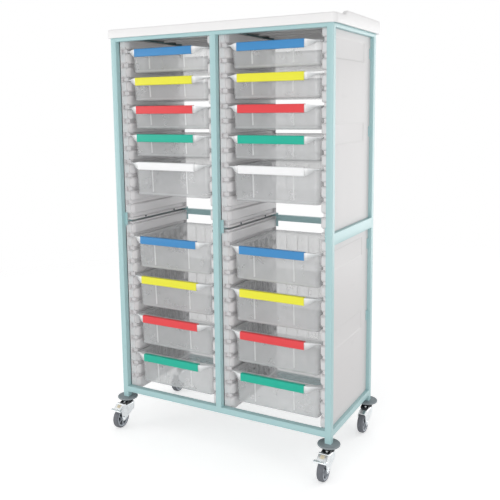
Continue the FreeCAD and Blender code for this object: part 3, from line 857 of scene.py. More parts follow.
# ---- runner panels ---------------------------------------------------------------------
def ridge_spans(sizes, first_rim, low, high):
    """(bottom, top) of every ridge of a panel between two heights."""
    count = int((first_rim - low) / sizes.pitch) + 1
    rest = first_rim - sizes.rest - sizes.pitch * np.arange(count + 1)
    bottoms = rest + sizes.groove
    tops = np.minimum(bottoms + sizes.pitch - sizes.groove, high - 0.004)
    bottoms = np.maximum(bottoms, low + 0.003)
    keep = tops - bottoms > 0.006
    return bottoms[keep], tops[keep]


def ridge_depth(sizes, y, z, y0, y1, bottoms, tops):
    """How far the panel stands out at (y, z).

    Every ridge is a rectangle with a round nose at its front. Inside it, by a distance d, the
    face stands out by depth * sqrt(1 - (1 - d/shoulder)^2), times a smooth step over the
    lead-in; the stop at the rear stands out all the way up.
    """
    out = np.zeros(np.broadcast(y, z).shape)
    for bottom, top in zip(bottoms, tops):
        nose = min(sizes.nose, (top - bottom) / 2 * 0.98)
        ahead = y0 + nose - y
        across = np.abs(z - (bottom + top) / 2) - ((top - bottom) / 2 - nose)
        inside = nose - np.hypot(np.maximum(ahead, 0), np.maximum(across, 0))
        inside = inside - np.minimum(np.maximum(ahead, across), 0)
        share = np.clip(inside / sizes.shoulder, 0, 1)
        out = np.maximum(out, np.sqrt(1 - (1 - share) ** 2))
    out *= 0.35 + 0.65 * smooth_step((y - y0) / sizes.lead_in)
    return sizes.depth * np.maximum(out, y > y1 - sizes.stop - 1e-6)


def front_setback(sizes, z, bottoms, tops):
    """How far the panel's front edge is set back at a height z.

    Over each ridge it comes forward by sqrt(1 - (1 - d/brow)^2), where d is the distance
    inside the ridge; in the grooves it stays back by the whole scallop.
    """
    forward = np.zeros(z.shape)
    for bottom, top in zip(bottoms, tops):
        inside = (top - bottom) / 2 - np.abs(z - (bottom + top) / 2)
        share = np.clip(inside / min(sizes.brow, (top - bottom) / 2), 0, 1)
        forward = np.maximum(forward, np.sqrt(1 - (1 - share) ** 2))
    return sizes.scallop * (1 - forward)


def runner_patches(sizes, base, way, back, low, high, first_rim):
    """One panel: its face is a grid over y and z, closed to a flat back, and a flange beside
    the front post."""
    y0 = low[Y] + sizes.wall
    z0, z1 = low[Z], high[Z]
    bottoms, tops = ridge_spans(sizes, first_rim, z0, z1)
    near = sizes.shoulder * np.array([0.0, 0.06, 0.2, 0.5, 1.0])
    middle = np.linspace(0.30, 0.70, 4)
    brows = np.array([0.1, 0.3, 0.65, 1.0])
    heights = [[z0, z1]]
    for bottom, top in zip(bottoms, tops):
        heights += [bottom + near, top - near, bottom + (top - bottom) * middle,
                    bottom + sizes.brow * brows, top - sizes.brow * brows]
    z = np.unique(np.round(np.concatenate(heights), 6))
    z = z[(z >= z0) & (z <= z1)]
    front = y0 + np.array([0, 0.3, 1, 2.2, 3.8, 6, 8.5, 11, 13.5, 17, 24, 40]) / 1000
    rear = high[Y] - np.array([sizes.stop + 0.0006, sizes.stop, 0])
    y = np.concatenate([[low[Y]], front, np.linspace(front[-1], rear[0], 7)[1:-1], rear])
    grid_y, grid_z = np.meshgrid(y, z)
    out = ridge_depth(sizes, grid_y, grid_z, y0, high[Y], bottoms, tops)
    fading = 1 - smooth_step((grid_y - low[Y]) / (2.5 * sizes.scallop))
    moved = grid_y + front_setback(sizes, grid_z, bottoms, tops) * fading
    face = np.stack([base + way * out, moved, grid_z], -1)
    x0, x1 = sorted((back, back + way * sizes.flange))
    flange = block((x0, low[Y] - 0.001, z0), (x1, low[Y] + 0.012, z1), Z, 0.0015)
    return slab(face, X, back) + flange


class UNIT_OT_runner_panels(bpy.types.Operator):
    """Runner panels: a face that stands out by rounded ridges between the grooves"""
    bl_idname = "tray_unit.runner_panels"
    bl_label = "Runner panels"

    def execute(self, context):
        sizes = context.scene.unit_runners
        material = surface_material("Runner plastic", sizes.plastic, tone=(5.0, 0.03),
                                    grain=(800.0, 0.46, 0.12), bump=0.14,
                                    rub=((1.0, 0.08, 1.0), 160.0, 0.55),
                                    rub_colour=srgb(196, 194, 195))
        joint = mid_rail_height() + PANEL_JOINT
        bottom = corners("cross_rails")[0][Z] + PANEL_CLEARANCE
        top = corners("left_side_frame")[1][Z] - PANEL_CLEARANCE
        for side in SIDES:
            x = joint_place(side + "_tray_slide_1")[X]
            for place in ("outer", "inner"):
                node = "%s_%s_runners" % (side, place)
                low, high = corners(node)
                way = 1.0 if (low[X] + high[X]) / 2 < x else -1.0
                face, back = (high[X], low[X]) if way > 0 else (low[X], high[X])
                patches = []
                for number, z0, z1 in ((1, joint + sizes.joint_gap, top),
                                       (6, bottom, joint - sizes.joint_gap)):
                    rim = joint_place("%s_tray_slide_%d" % (side, number))[Z]
                    patches += runner_patches(sizes, face - way * sizes.depth, way, back,
                                              (low[X], low[Y], z0), (high[X], high[Y], z1), rim)
                add_piece("%s_%s_runner_panels" % (side, place), patches, material, "cabinet",
                          [node], sharp=50)
        return {"FINISHED"}


# ---- side panels -----------------------------------------------------------------------
def channel_depth(sizes, y, z, low, high, heights):
    """Depth of the pressed channels at (y, z): a smooth step over the sloping edge, from the
    distance inside the channel's rectangle."""
    out = np.zeros(np.broadcast(y, z).shape)
    for height in heights:
        inside = np.minimum(np.minimum(y - low[Y] - CHANNEL_FRONT, high[Y] - CHANNEL_REAR - y),
                            sizes.channel_height / 2 - np.abs(z - height))
        out = np.maximum(out, smooth_step(inside / sizes.slope))
    return sizes.channel * out


def side_panel_patches(sizes, face, way, low, high, heights):
    """One panel: a grid over y and z with pressed channels, closed to a flat back."""
    slope = sizes.slope * np.linspace(0, 1, 5)
    half = sizes.channel_height / 2
    z = [[low[Z], high[Z]]]
    for height in heights:
        z += [height - half + slope, height + half - slope]
    y = np.concatenate([[low[Y]], low[Y] + CHANNEL_FRONT + slope,
                        high[Y] - CHANNEL_REAR - slope[::-1], [high[Y]]])
    grid_y, grid_z = np.meshgrid(y, np.unique(np.round(np.concatenate(z), 6)))
    out = channel_depth(sizes, grid_y, grid_z, low, high, heights)
    return slab(np.stack([face - way * out, grid_y, grid_z], -1), X, face - way * sizes.sheet)


class UNIT_OT_side_panels(bpy.types.Operator):
    """Outer panels in the side frames, each with two shallow pressed channels"""
    bl_idname = "tray_unit.side_panels"
    bl_label = "Side panels"

    def execute(self, context):
        sizes = context.scene.unit_side_panels
        metal = context.scene.unit_frame
        low, high = corners("side_panels")
        mid = mid_rail_height()
        material = surface_material("Panel sheet", sizes.plastic, tone=(2.0, 0.012),
                                    grain=(1100.0, 0.5, 0.08), bump=0.08,
                                    rub=((1.0, 0.2, 1.0), 50.0, 0.25),
                                    rub_colour=srgb(200, 198, 198))
        patches = []
        for way, face in ((-1, low[X]), (1, high[X])):
            for z0, z1 in ((low[Z], mid - PANEL_CLEARANCE),
                           (mid + metal.mid_rail + PANEL_CLEARANCE, high[Z])):
                heights = tuple(z1 + PANEL_CLEARANCE - drop for drop in CHANNEL_DROPS)
                patches += side_panel_patches(sizes, face, way, (0, low[Y], z0),
                                              (0, high[Y], z1), heights)
        add_piece("outer_side_panels", patches, material, "cabinet",
                  ["side_panels"], sharp=60)
        return {"FINISHED"}


# ---- trays -----------------------------------------------------------------------------
def rib_stations(places, half):
    """Shares of a side where points stand, so that each rib has two flanks and a flat top."""
    offsets = half * np.array([-1.0, -0.45, 0.45, 1.0])
    return (np.asarray(places)[:, None] + offsets).ravel()


def tray_masks(runs, steps):
    """At each point of the outline: 1 where a rib raises the wall, -1 where the front wall sinks
    between its two lines and 0 elsewhere; and how much more frosted the lines are, a value that
    also paints a highlight on them."""
    raised, lines = [], []
    for index, run in enumerate(runs):
        frost = np.zeros(len(run))
        if index == 2:
            value = -np.ones(len(run))
            value[[0, 1, 2, -3, -2, -1]] = 0.0
            # Painted highlight: the front wall's lines are whitened as well as made more opaque.
            frost[[1, 2, -3, -2]] = LINE_FROST_AND_HIGHLIGHT
        else:
            value = np.tile([0.0, 1.0, 1.0, 0.0], len(run) // 4)
        raised += [np.zeros(steps + 1), value]
        lines += [np.zeros(steps + 1), frost]
    return np.concatenate(raised), np.concatenate(lines)


def tray_rows(sizes, place):
    """Closed rows over a tray, from under its floor, up the outside, round the rim, down the inside
    and over the floor, and how frosted the plastic is at each of their points, a value that also
    paints a highlight where it is high.

    The wall's inset at height z is draft (rim - z) / height, and the foot a quarter circle.
    """
    x, front, rim, bottom = place
    height = rim - bottom
    rear = corners("left_tray_1")[1][Y]
    steps = 6
    side_ribs = rib_stations(np.linspace(0.08, 0.92, 7), RIB_HALF_SHARE)
    rear_ribs = rib_stations(np.linspace(0.10, 0.90, 6), RIB_HALF_SHARE)
    runs = [rear_ribs, side_ribs, np.array(FRONT_STATIONS), side_ribs]
    raised, front_line = tray_masks(runs, steps)
    half = sizes.rim_half - sizes.overhang
    rows, frost_and_highlight_rows = [], []

    def body(inset, z, rib=0.0, frost=WALL_FROST):
        radius = max(sizes.corner - inset, 0.003)
        points, outward = outline((x - half + inset, front + sizes.front_gap + inset),
                                  (x + half - inset, rear - sizes.rear_gap - inset),
                                  [radius] * 4, runs, steps)
        points = points + outward * (raised * rib * sizes.rib)[:, None]
        rows.append(np.column_stack([points, np.full(len(points), z)]))
        lines = np.where(raised < 0, 0, front_line)
        frost_and_highlight_rows.append(frost + rib * np.where(raised > 0, RIB_FROST, lines))

    def flange(inset, z):
        radii = [sizes.rim_rear - inset] * 2 + [sizes.rim_front - inset] * 2
        points, _ = outline((x - sizes.rim_half + inset, front + inset),
                            (x + sizes.rim_half - inset, rear - inset), radii, runs, steps)
        rows.append(np.column_stack([points, np.full(len(points), z)]))
        # Painted highlight: the rim's high value whitens it as if it caught the light.
        frost_and_highlight_rows.append(np.full(len(points), RIM_FROST_AND_HIGHLIGHT))

    def slope(z):
        return sizes.draft * (rim - z) / height

    angles = np.linspace(0, math.pi / 2, 4)
    body(sizes.draft + sizes.foot + 0.010, bottom)
    for angle in angles:
        z = bottom + sizes.foot * (1 - math.cos(angle))
        body(slope(z) + sizes.foot * (1 - math.sin(angle)), z, frost=FOOT_FROST)
    levels = ((bottom + 0.012, 0), (bottom + 0.016, 1), (rim - 0.020, 1), (rim - 0.014, 0))
    for z, rib in levels:
        body(slope(z), z, rib)
    body(0, rim - sizes.rim, frost=EDGE_FROST)
    flange(0.0008, rim - sizes.rim)
    flange(0, rim - sizes.rim + 0.0008)
    flange(0, rim - 0.0012)
    flange(0.0012, rim)
    flange(0.0040, rim)
    body(sizes.wall - 0.0012, rim, frost=RIM_FROST_AND_HIGHLIGHT)
    body(sizes.wall, rim - 0.0012, frost=EDGE_FROST)
    for z, rib in levels[::-1]:
        body(slope(z) + sizes.wall, z, rib)
    inner = sizes.foot - sizes.wall
    for angle in angles[::-1]:
        z = bottom + sizes.floor + inner * (1 - math.cos(angle))
        body(slope(z) + sizes.wall + inner * (1 - math.sin(angle)), z, frost=FOOT_FROST)
    body(sizes.draft + sizes.foot + 0.010, bottom + sizes.floor)
    return np.stack(rows), np.concatenate(frost_and_highlight_rows)


def handle_patches(sizes, place):
    """The lip in front of a tray, and the flange behind it.

    Both are rounded rectangles carried along x; the lip's front, rise and drop follow g(x) = 1
    along the straight part, and a smooth step down to 0 at the rim's corners. With the patches goes
    how frosted they are, most along the top edge, where the high value paints a highlight on the
    lip.
    """
    x, front, rim, _ = place
    end = sizes.rim_half - sizes.rim_front
    taper = np.linspace(0, 1, 9)
    half = np.concatenate([[0], sizes.handle_half + (end - sizes.handle_half) * taper])
    offset = np.concatenate([-half[:0:-1], half])
    share = 1 - smooth_step((np.abs(offset) - sizes.handle_half) / (end - sizes.handle_half))
    lip_front = front - sizes.handle * share
    lip_top = rim - 0.0006 + (sizes.handle_rise + 0.0006) * share
    lip_bottom = rim - sizes.rim + 0.0006 - (sizes.handle_drop - sizes.rim + 0.0006) * share
    profile = rectangle((0, 0), (1, 1), 0.12, 4)
    parts, frost = [], []
    # Painted highlight: the top half of the lip is made whiter and more opaque than the rest, as if
    # its top edge caught the light.
    row_frost_and_highlight = np.where(profile[:, 1] > 0.5, LIP_TOP_FROST_AND_HIGHLIGHT, LIP_FROST)
    for y0, y1, z0, z1 in ((lip_front, lip_front + sizes.handle_wall, lip_bottom, lip_top),
                           (lip_front + sizes.handle_wall / 2,
                            np.full(len(offset), front + 0.003), rim - sizes.rim + 0.0004,
                            rim - 0.0006)):
        rows = np.empty((len(offset), len(profile), 3))
        rows[:, :, X] = (x + offset)[:, None]
        rows[:, :, Y] = y0[:, None] + profile[:, 0] * (y1 - y0)[:, None]
        z0, z1 = np.broadcast_to(z0, len(offset)), np.broadcast_to(z1, len(offset))
        rows[:, :, Z] = z0[:, None] + profile[:, 1] * (z1 - z0)[:, None]
        parts += rings(rows)
        frost.append(np.tile(row_frost_and_highlight, len(offset) + 2))
    return parts, np.concatenate(frost)


class UNIT_OT_trays(bpy.types.Operator):
    """Clear trays: closed rows over floor, walls and rim, with upright ribs, and a handle"""
    bl_idname = "tray_unit.trays"
    bl_label = "Trays"

    def execute(self, context):
        sizes = context.scene.unit_trays
        material = clear_material()
        for side in SIDES:
            for number in range(1, TRAY_COUNT + 1):
                place = tray_place(side, number)
                rows, frost = tray_rows(sizes, place)
                handle, handle_frost_and_highlight = handle_patches(sizes, place)
                ends = len(rows[0])
                frost = np.concatenate([frost, frost[:ends], frost[-ends:], handle_frost_and_highlight])
                add_piece("%s_clear_tray_%d" % (side, number), rings(rows) + handle, material,
                          "%s_drawer_%d" % (side, number),
                          ["%s_tray_%d" % (side, number)], sharp=40,
                          masks={"frost": frost})
        return {"FINISHED"}


# ---- label clips -----------------------------------------------------------------------
def clip_outline(sizes, tray, front, rim):
    """The clip's C-shaped section as (y, z) with its outer edges rounded."""
    y0 = front - tray.handle - sizes.gap - sizes.wall
    z0 = rim - tray.handle_drop - sizes.gap - sizes.wall
    z1 = rim + tray.handle_rise + sizes.gap + sizes.wall
    w = sizes.wall
    heel = rim + sizes.gap
    path = [(y0, z0), (y0 + sizes.hook, z0), (y0 + sizes.hook, z0 + w), (y0 + w, z0 + w),
            (y0 + w, z1 - w), (y0 + sizes.cover - w, z1 - w), (y0 + sizes.cover - w, heel),
            (y0 + sizes.cover, heel), (y0 + sizes.cover, z1), (y0, z1)]
    small = w * 0.35
    return rounded_path(path, [sizes.round, small, small, small, small, small, small, small,
                               sizes.round * 0.7, sizes.round], 4)


class UNIT_OT_clips(bpy.types.Operator):
    """Label clips: a C-shaped section carried along each handle, drawn in at both ends"""
    bl_idname = "tray_unit.clips"
    bl_label = "Label clips"

    def execute(self, context):
        sizes = context.scene.unit_clips
        trays = context.scene.unit_trays
        for side in SIDES:
            for number, name in enumerate(CLIP_ORDER, 1):
                x, front, rim, _ = tray_place(side, number)
                section = clip_outline(sizes, trays, front, rim)
                rows = carried(section, X, (x - sizes.half, x + sizes.half))
                material = surface_material("Clip " + name, getattr(sizes, name),
                                            tone=(9.0, 0.025), grain=(700.0, 0.30, 0.10),
                                            bump=0.06, rub=((0.15, 1.0, 1.0), 120.0, 0.20),
                                            rub_colour=getattr(sizes, name))
                add_piece("%s_label_clip_%d" % (side, number), rings(rows), material,
                          "%s_drawer_%d" % (side, number),
                          ["%s_clip_%d" % (side, number)], bevel=0.0003)
        return {"FINISHED"}


# ---- castors ---------------------------------------------------------------------------
def swivel_place(name):
    """(x, y) of a castor's swivel axis."""
    return joint_place(name + "_swivel")[:2]


class UNIT_OT_bumpers(bpy.types.Operator):
    """Round rubber bumpers and black swivel heads: profiles turned round the swivel axes"""
    bl_idname = "tray_unit.bumpers"
    bl_label = "Bumpers and swivel heads"

    def execute(self, context):
        sizes = context.scene.unit_castors
        rubber = surface_material("Bumper rubber", sizes.rubber, tone=(30.0, 0.06),
                                  grain=(1200.0, 0.62, 0.15), bump=0.30,
                                  rub=((1.0, 1.0, 0.3), 90.0, 0.35),
                                  rub_colour=srgb(156, 162, 165))
        black = housing_material()
        high = corners("left_side_frame")[0][Z]
        low = high - sizes.bumper_depth
        head_low = corners("front_left_fork")[1][Z] + 0.0003
        discs, heads = [], []
        for name in CASTORS:
            x, y = swivel_place(name)
            edge = sizes.bumper_edge
            profile = rounded_path([(0, low), (sizes.bumper, low), (sizes.bumper, high),
                                    (0.017, high), (0.016, high + 0.0001), (0, high + 0.0001)],
                                   [0, edge, edge, 0, 0, 0], 6, closed=False)
            discs += turned(profile, (x, y, 0), Z, 56)
            waist = head_low + 0.0062
            profile = rounded_path([(0, low), (sizes.head * 1.05, low),
                                    (sizes.head * 0.92, low - 0.004),
                                    (sizes.head * 0.92, waist), (sizes.head * 1.08, waist),
                                    (sizes.head * 1.08, head_low), (0, head_low)],
                                   [0, 0.0008, 0.002, 0.0012, 0.0018, 0.0012, 0], 4,
                                   closed=False)
            heads += turned(profile, (x, y, 0), Z, 48)
        add_piece("corner_bumpers", discs, rubber, "cabinet", ["bumpers"], sharp=60)
        add_piece("swivel_heads", heads, black, "cabinet", ["castor_heads"],
                  sharp=40)
        return {"FINISHED"}


def cheek_bottom(sizes, crown_under, offset):
    """Lower edge of a cheek at a distance ahead of the swivel axis.

    It is a line from the rear edge to the foot, the foot's circle round the axle, and a line
    up to the hood's front edge; each line touches the circle.
    """
    centre = np.array([sizes.trail, sizes.wheel])
    rear = np.array([-sizes.crown_back, crown_under - sizes.cheek_depth])
    hood = np.array([sizes.hood_reach, crown_under - sizes.hood_drop])
    touches = []
    for point, way in ((rear, 1), (hood, -1)):
        reach = point - centre
        angle = (math.atan2(reach[1], reach[0])
                 + way * math.acos(sizes.foot / np.linalg.norm(reach)))
        touches.append(centre + sizes.foot * np.array([math.cos(angle), math.sin(angle)]))
    (rear_x, rear_z), (hood_x, hood_z) = touches
    under = sizes.foot ** 2 - (offset - centre[0]) ** 2
    foot = centre[1] - np.sqrt(np.maximum(under, 0))
    back_line = np.interp(offset, [rear[0], rear_x], [rear[1], rear_z])
    front_line = np.interp(offset, [hood_x, hood[0]], [hood_z, hood[1]])
    return np.where(offset < rear_x, back_line, np.where(offset > hood_x, front_line, foot))


def fork_patches(sizes, x, y, crown_top):
    """The pressed fork: a U-shaped section carried along y.

    At each station the section runs up the left cheek from its lower edge, round a quarter
    circle, over the crown, and down the right cheek, and back along the inside at the
    plate's thickness.
    """
    plate, outer = sizes.plate, sizes.cheek_inner + sizes.plate
    centre = sizes.trail
    foot = centre + sizes.foot * np.sin(np.linspace(-1, 1, 13) * math.pi / 2)
    ahead = np.unique(np.concatenate([np.linspace(-sizes.crown_back, centre - sizes.foot, 9),
                                      foot, [sizes.hood_start, sizes.hood_reach]]))
    top = crown_top - sizes.hood_drop * np.clip((ahead - sizes.hood_start)
                                                / (sizes.hood_reach - sizes.hood_start), 0, 1)
    bottom = np.minimum(cheek_bottom(sizes, crown_top - plate, ahead), top - sizes.bend - 0.0003)
    rows = []
    for half, peak, radius in ((outer, top, sizes.bend), (outer - plate, top - plate,
                                                          sizes.bend - plate)):
        angle = np.linspace(0, math.pi / 2, 5)
        rise = np.linspace(0, 1, 4)[:-1]
        side_z = bottom[:, None] + rise * (peak - radius - bottom)[:, None]
        arc_z = (peak - radius)[:, None] + radius * np.sin(angle)
        z = np.concatenate([side_z, arc_z], 1)
        across = np.concatenate([np.full(len(rise), -half), -half + radius * (1 - np.cos(angle))])
        row_x = np.broadcast_to(np.concatenate([across, -across[::-1]]),
                                (len(ahead), 2 * len(across)))
        rows.append(np.stack([x + row_x, np.repeat((y - ahead)[:, None], row_x.shape[1], 1),
                              np.concatenate([z, z[:, ::-1]], 1)], -1))
    section = np.concatenate([rows[0], rows[1][:, ::-1]], 1)
    return rings(section)


def shield_patches(sizes, x, y, crown_top):
    """The black shield on the crown, ahead of the round head.

    At each station across it runs from the circle round the head, whose depth is
    sqrt(r^2 - x^2), to a straight front edge, and slopes down from back to front.
    """
    reach, back, fall = 0.0360, 0.0090, 0.0050
    across = np.linspace(-1, 1, 25) * (sizes.cheek_inner + sizes.plate - 0.0010)
    radius = sizes.head * 1.08 + 0.0006
    rear = np.sqrt(radius ** 2 - across ** 2)
    front = reach - 0.35 * across ** 2 / (sizes.cheek_inner + sizes.plate)
    profile = rectangle((0, 0), (1, 1), 0.10, 3)
    ahead = rear[:, None] + profile[:, 0] * (front - rear)[:, None]
    slope = back - fall * (ahead - radius) / (reach - radius)
    rows = np.empty((len(across), len(profile), 3))
    rows[:, :, X] = (x + across)[:, None]
    rows[:, :, Y] = y - ahead
    rows[:, :, Z] = crown_top + 0.0002 + profile[:, 1] * slope
    return rings(rows)


def nut_patches(sizes, x, y, z, way):
    """A hexagon nut with a washer under it and the domed end of the axle in its middle."""
    angle = np.linspace(0, 2 * math.pi, 6, endpoint=False)
    reach = sizes.nut / math.cos(math.pi / 6)
    heights = np.array([0.0008, sizes.nut_height * 0.62, sizes.nut_height * 0.75])
    scale = np.array([1.0, 1.0, 0.88])
    rows = np.empty((3, 6, 3))
    rows[:, :, X] = (x + way * heights)[:, None]
    rows[:, :, Y] = y + scale[:, None] * reach * np.cos(angle)
    rows[:, :, Z] = z + scale[:, None] * reach * np.sin(angle)
    profile = [(0, 0), (reach * 1.15, 0), (reach * 1.15, way * 0.0009), (0, way * 0.0009)]
    end = rounded_path([(0.0032, 0), (0.0032, way * sizes.nut_height), (0, way * sizes.nut_height)],
                       [0, 0.0012, 0], 4, closed=False)
    return rings(rows) + turned(profile, (x, y, z), X, 24) + turned(end, (x, y, z), X, 20)


class UNIT_OT_forks(bpy.types.Operator):
    """Pressed zinc-plated forks with their axle nuts"""
    bl_idname = "tray_unit.forks"
    bl_label = "Castor forks"

    def execute(self, context):
        sizes = context.scene.unit_castors
        material = zinc_material()
        black = housing_material()
        for name in CASTORS:
            x, y = swivel_place(name)
            crown_top = corners(name + "_fork")[1][Z]
            patches = fork_patches(sizes, x, y, crown_top)
            outer = sizes.cheek_inner + sizes.plate
            for way in (-1, 1):
                patches += nut_patches(sizes, x + way * outer, y - sizes.trail, sizes.wheel, way)
            axle = [(0, -outer), (AXLE, -outer), (AXLE, outer), (0, outer)]
            patches += turned(axle, (x, y - sizes.trail, sizes.wheel), X, 20)
            add_piece(name + "_castor_fork", patches, material, name + "_fork",
                      [name + "_fork"], sharp=38, bevel=0.0004)
            add_piece(name + "_shield", shield_patches(sizes, x, y, crown_top), black,
                      name + "_fork", sharp=38)
            rivet = (x + 0.0030, y - 0.0250, crown_top + 0.0072)
            add_piece(name + "_shield_rivet", screw_patches(rivet, Z, 1, 0.0044, 0.0024),
                      material, name + "_fork")
        return {"FINISHED"}


def hub_patches(sizes, centre):
    """The plastic hub: rows of circles over each face, whose recess is filled by six ribs.

    Half the hub's width at radius r and angle a is rim - recess(r) (1 - rib(a)), where
    rib(a) is a smooth step round every sixth of a turn.
    """
    steps = 96
    angle = np.linspace(0, 2 * math.pi, steps, endpoint=False)
    radii = np.array([0.0031, 0.0085, 0.0095, 0.0105, 0.0120, 0.0165, 0.0240, 0.0255, 0.0265,
                      sizes.hub])
    recess = np.array([0, 0, 0, 0.4, 1, 1, 1, 0.4, 0, 0])
    rib = smooth_step(1.35 - np.abs((angle / (math.pi / 3)) % 1 - 0.5) * 9)
    depth = recess[:, None] * (1 - rib)
    half = sizes.tread / 2 - 0.0012 - 0.0075 * depth
    ring_x = np.concatenate([half[::-1], -half])
    ring_r = np.concatenate([radii[::-1], radii])
    rows = np.empty((len(ring_r), steps, 3))
    rows[:, :, X] = centre[X] + ring_x
    rows[:, :, Y] = centre[Y] + ring_r[:, None] * np.cos(angle)
    rows[:, :, Z] = centre[Z] + ring_r[:, None] * np.sin(angle)
    closed = np.concatenate([rows, rows[:1]])
    # How deep each point lies in the recess, which the hub material turns into painted shade.
    deep = np.concatenate([depth[::-1], depth, depth[-1:]])
    return [(closed.reshape(-1, 3), grid_faces(len(closed), steps, True))], deep.ravel()


class UNIT_OT_wheels(bpy.types.Operator):
    """Wheels: a turned rubber tyre on a ribbed plastic hub"""
    bl_idname = "tray_unit.wheels"
    bl_label = "Wheels"

    def execute(self, context):
        sizes = context.scene.unit_castors
        rubber = surface_material("Tyre rubber", sizes.tyre, tone=(40.0, 0.06),
                                  grain=(1300.0, 0.60, 0.15), bump=0.25,
                                  rub=((0.25, 1.0, 1.0), 140.0, 0.5),
                                  rub_colour=srgb(132, 134, 138))
        plastic = hub_material()
        half = sizes.tread / 2
        inner = sizes.hub - 0.0004
        for name in CASTORS:
            centre = joint_place(name + "_roll")
            profile = rounded_path([(inner, -half + 0.0006), (sizes.wheel - 0.004, -half),
                                    (sizes.wheel, -half + 0.005), (sizes.wheel, half - 0.005),
                                    (sizes.wheel - 0.004, half), (inner, half - 0.0006)],
                                   [0.0012, 0.003, 0.004, 0.004, 0.003, 0.0012], 4)
            profile = np.concatenate([profile, profile[:1]])
            add_piece(name + "_tyre", turned(profile, centre, X, 84), rubber, name + "_wheel",
                      [name + "_wheel"], sharp=50)
            hub, deep = hub_patches(sizes, centre)
            add_piece(name + "_hub", hub, plastic, name + "_wheel", sharp=50,
                      masks={"deep": deep})
        return {"FINISHED"}


def rocker_patches(sizes, x, y, pivot_z, crown_top, tread):
    """A side of the pedal: a plate between its rounded outline and the same outline one wall
    further out."""
    top = crown_top + 0.0026
    path = [(y - 0.0320, pivot_z - 0.0040), (y - 0.0320, pivot_z + 0.0045),
            (y - 0.0370, top + 0.0030), (y - 0.0470, top + 0.0030),
            (y - sizes.tread_start, tread + 0.0021), (y - sizes.pedal_tip, tread + 0.0021),
            (y - sizes.pedal_tip, tread), (y - 0.0520, tread), (y - 0.0380, pivot_z - 0.0040)]
    outline_yz = rounded_path(path, [0.0035, 0.002, 0.002, 0.002, 0.003, 0.0009, 0.0009, 0.006,
                                     0.0025], 3)
    return rings(carried(outline_yz, X, x))


def tread_patches(sizes, x, y, z):
    """The tread: a plate whose front edge is rolled down, with raised ribs across it.

    Its section is carried along x, and its height there is z + ribs(x), where ribs is a
    smooth step up and down at every rib.
    """
    section = rounded_path([(y - sizes.pedal_tip, z - 0.0020), (y - sizes.pedal_tip + 0.0018,
                            z - 0.0020), (y - sizes.pedal_tip + 0.0022, z),
                            (y - sizes.tread_start, z), (y - sizes.tread_start, z + 0.0020),
                            (y - sizes.pedal_tip, z + 0.0020)],
                           [0.0006, 0.0006, 0.0, 0.0006, 0.0008, 0.0018], 3)
    reach = 0.0240
    across = np.linspace(-reach, reach, 73)
    rows = carried(section, X, x + across)
    raised = np.abs((across / 0.0040) % 1 - 0.5) < 0.26
    upper = (section[:, 1] > z + 0.0017)[None, :] & raised[:, None]
    rows[:, :, Z] += np.where(upper & (np.abs(across) < reach - 0.002)[:, None], 0.0008, 0)
    return rings(rows)


def sloping_plate(ends, x, half, wall):
    """A plate between two places in the y-z plane, as wide as twice half."""
    (y0, z0), (y1, z1) = ends
    path = [(y1, z1), (y0, z0), (y0, z0 + wall), (y1, z1 + wall)]
    section = rounded_path(path, [wall * 0.3] * 4, 3)
    return rings(carried(section, X, (x - half, x + half)))


class UNIT_OT_pedals(bpy.types.Operator):
    """Brake pedals: two rockers on a pin, a ribbed tread in front and a release bar above"""
    bl_idname = "tray_unit.pedals"
    bl_label = "Brake pedals"

    def execute(self, context):
        sizes = context.scene.unit_castors
        plate = zinc_material()
        cream = surface_material("Release bar", sizes.release, tone=(40.0, 0.05),
                                 grain=(900.0, 0.35, 0.10), bump=0.10)
        for name in CASTORS[:2]:
            x, y = swivel_place(name)
            node = name + "_brake"
            crown_top = corners(name + "_fork")[1][Z]
            pivot_z = joint_place(name + "_brake_press")[Z]
            tread = corners(node)[0][Z] + 0.0008
            inner = sizes.cheek_inner + sizes.plate + 0.0003
            patches = tread_patches(sizes, x, y, tread)
            for way in (-1, 1):
                span = sorted((x + way * inner, x + way * (inner + 0.0020)))
                patches += rocker_patches(sizes, span, y, pivot_z, crown_top, tread)
            end = inner + 0.0010
            pin = [(0, -end), (0.0020, -end), (0.0020, end), (0, end)]
            patches += turned(pin, (x, y - PEDAL_PIN, pivot_z), X, 16)
            add_piece(name + "_brake_pedal", patches, plate, node, [node],
                      sharp=38)
            low = (x - inner - 0.0018, y - 0.0470, crown_top + 0.0024)
            high = (x + inner + 0.0018, y - 0.0370, crown_top + 0.0086)
            add_piece(name + "_release_bar", block(low, high, X, 0.0022, 4), plate, node,
                      bevel=0.0005)
            ends = np.array([(y - 0.0450, crown_top + 0.0060), (y - 0.0670, tread + 0.0018)])
            add_piece(name + "_pedal_plate", sloping_plate(ends, x, inner, 0.0015), plate, node,
                      sharp=38)
            along = np.array([[0.20], [0.72]])
            pad = ends[0] + along * (ends[1] - ends[0]) + np.array([0, 0.0014])
            add_piece(name + "_pedal_pad", sloping_plate(pad, x, 0.0070, 0.0012), cream, node,
                      sharp=38)
        return {"FINISHED"}


# ---- screws ----------------------------------------------------------------------------
def screw_patches(place, axis, way, radius, height):
    """A pan head with a round recess in its middle."""
    profile = rounded_path([(0, way * height * 0.45), (radius * 0.34, way * height * 0.45),
                            (radius * 0.42, way * height), (radius, way * height),
                            (radius, -way * 0.0004), (0, -way * 0.0004)],
                           [0, 0, 0.0002, height * 0.7, 0, 0], 4, closed=False)
    return turned(profile, place, axis, 20)


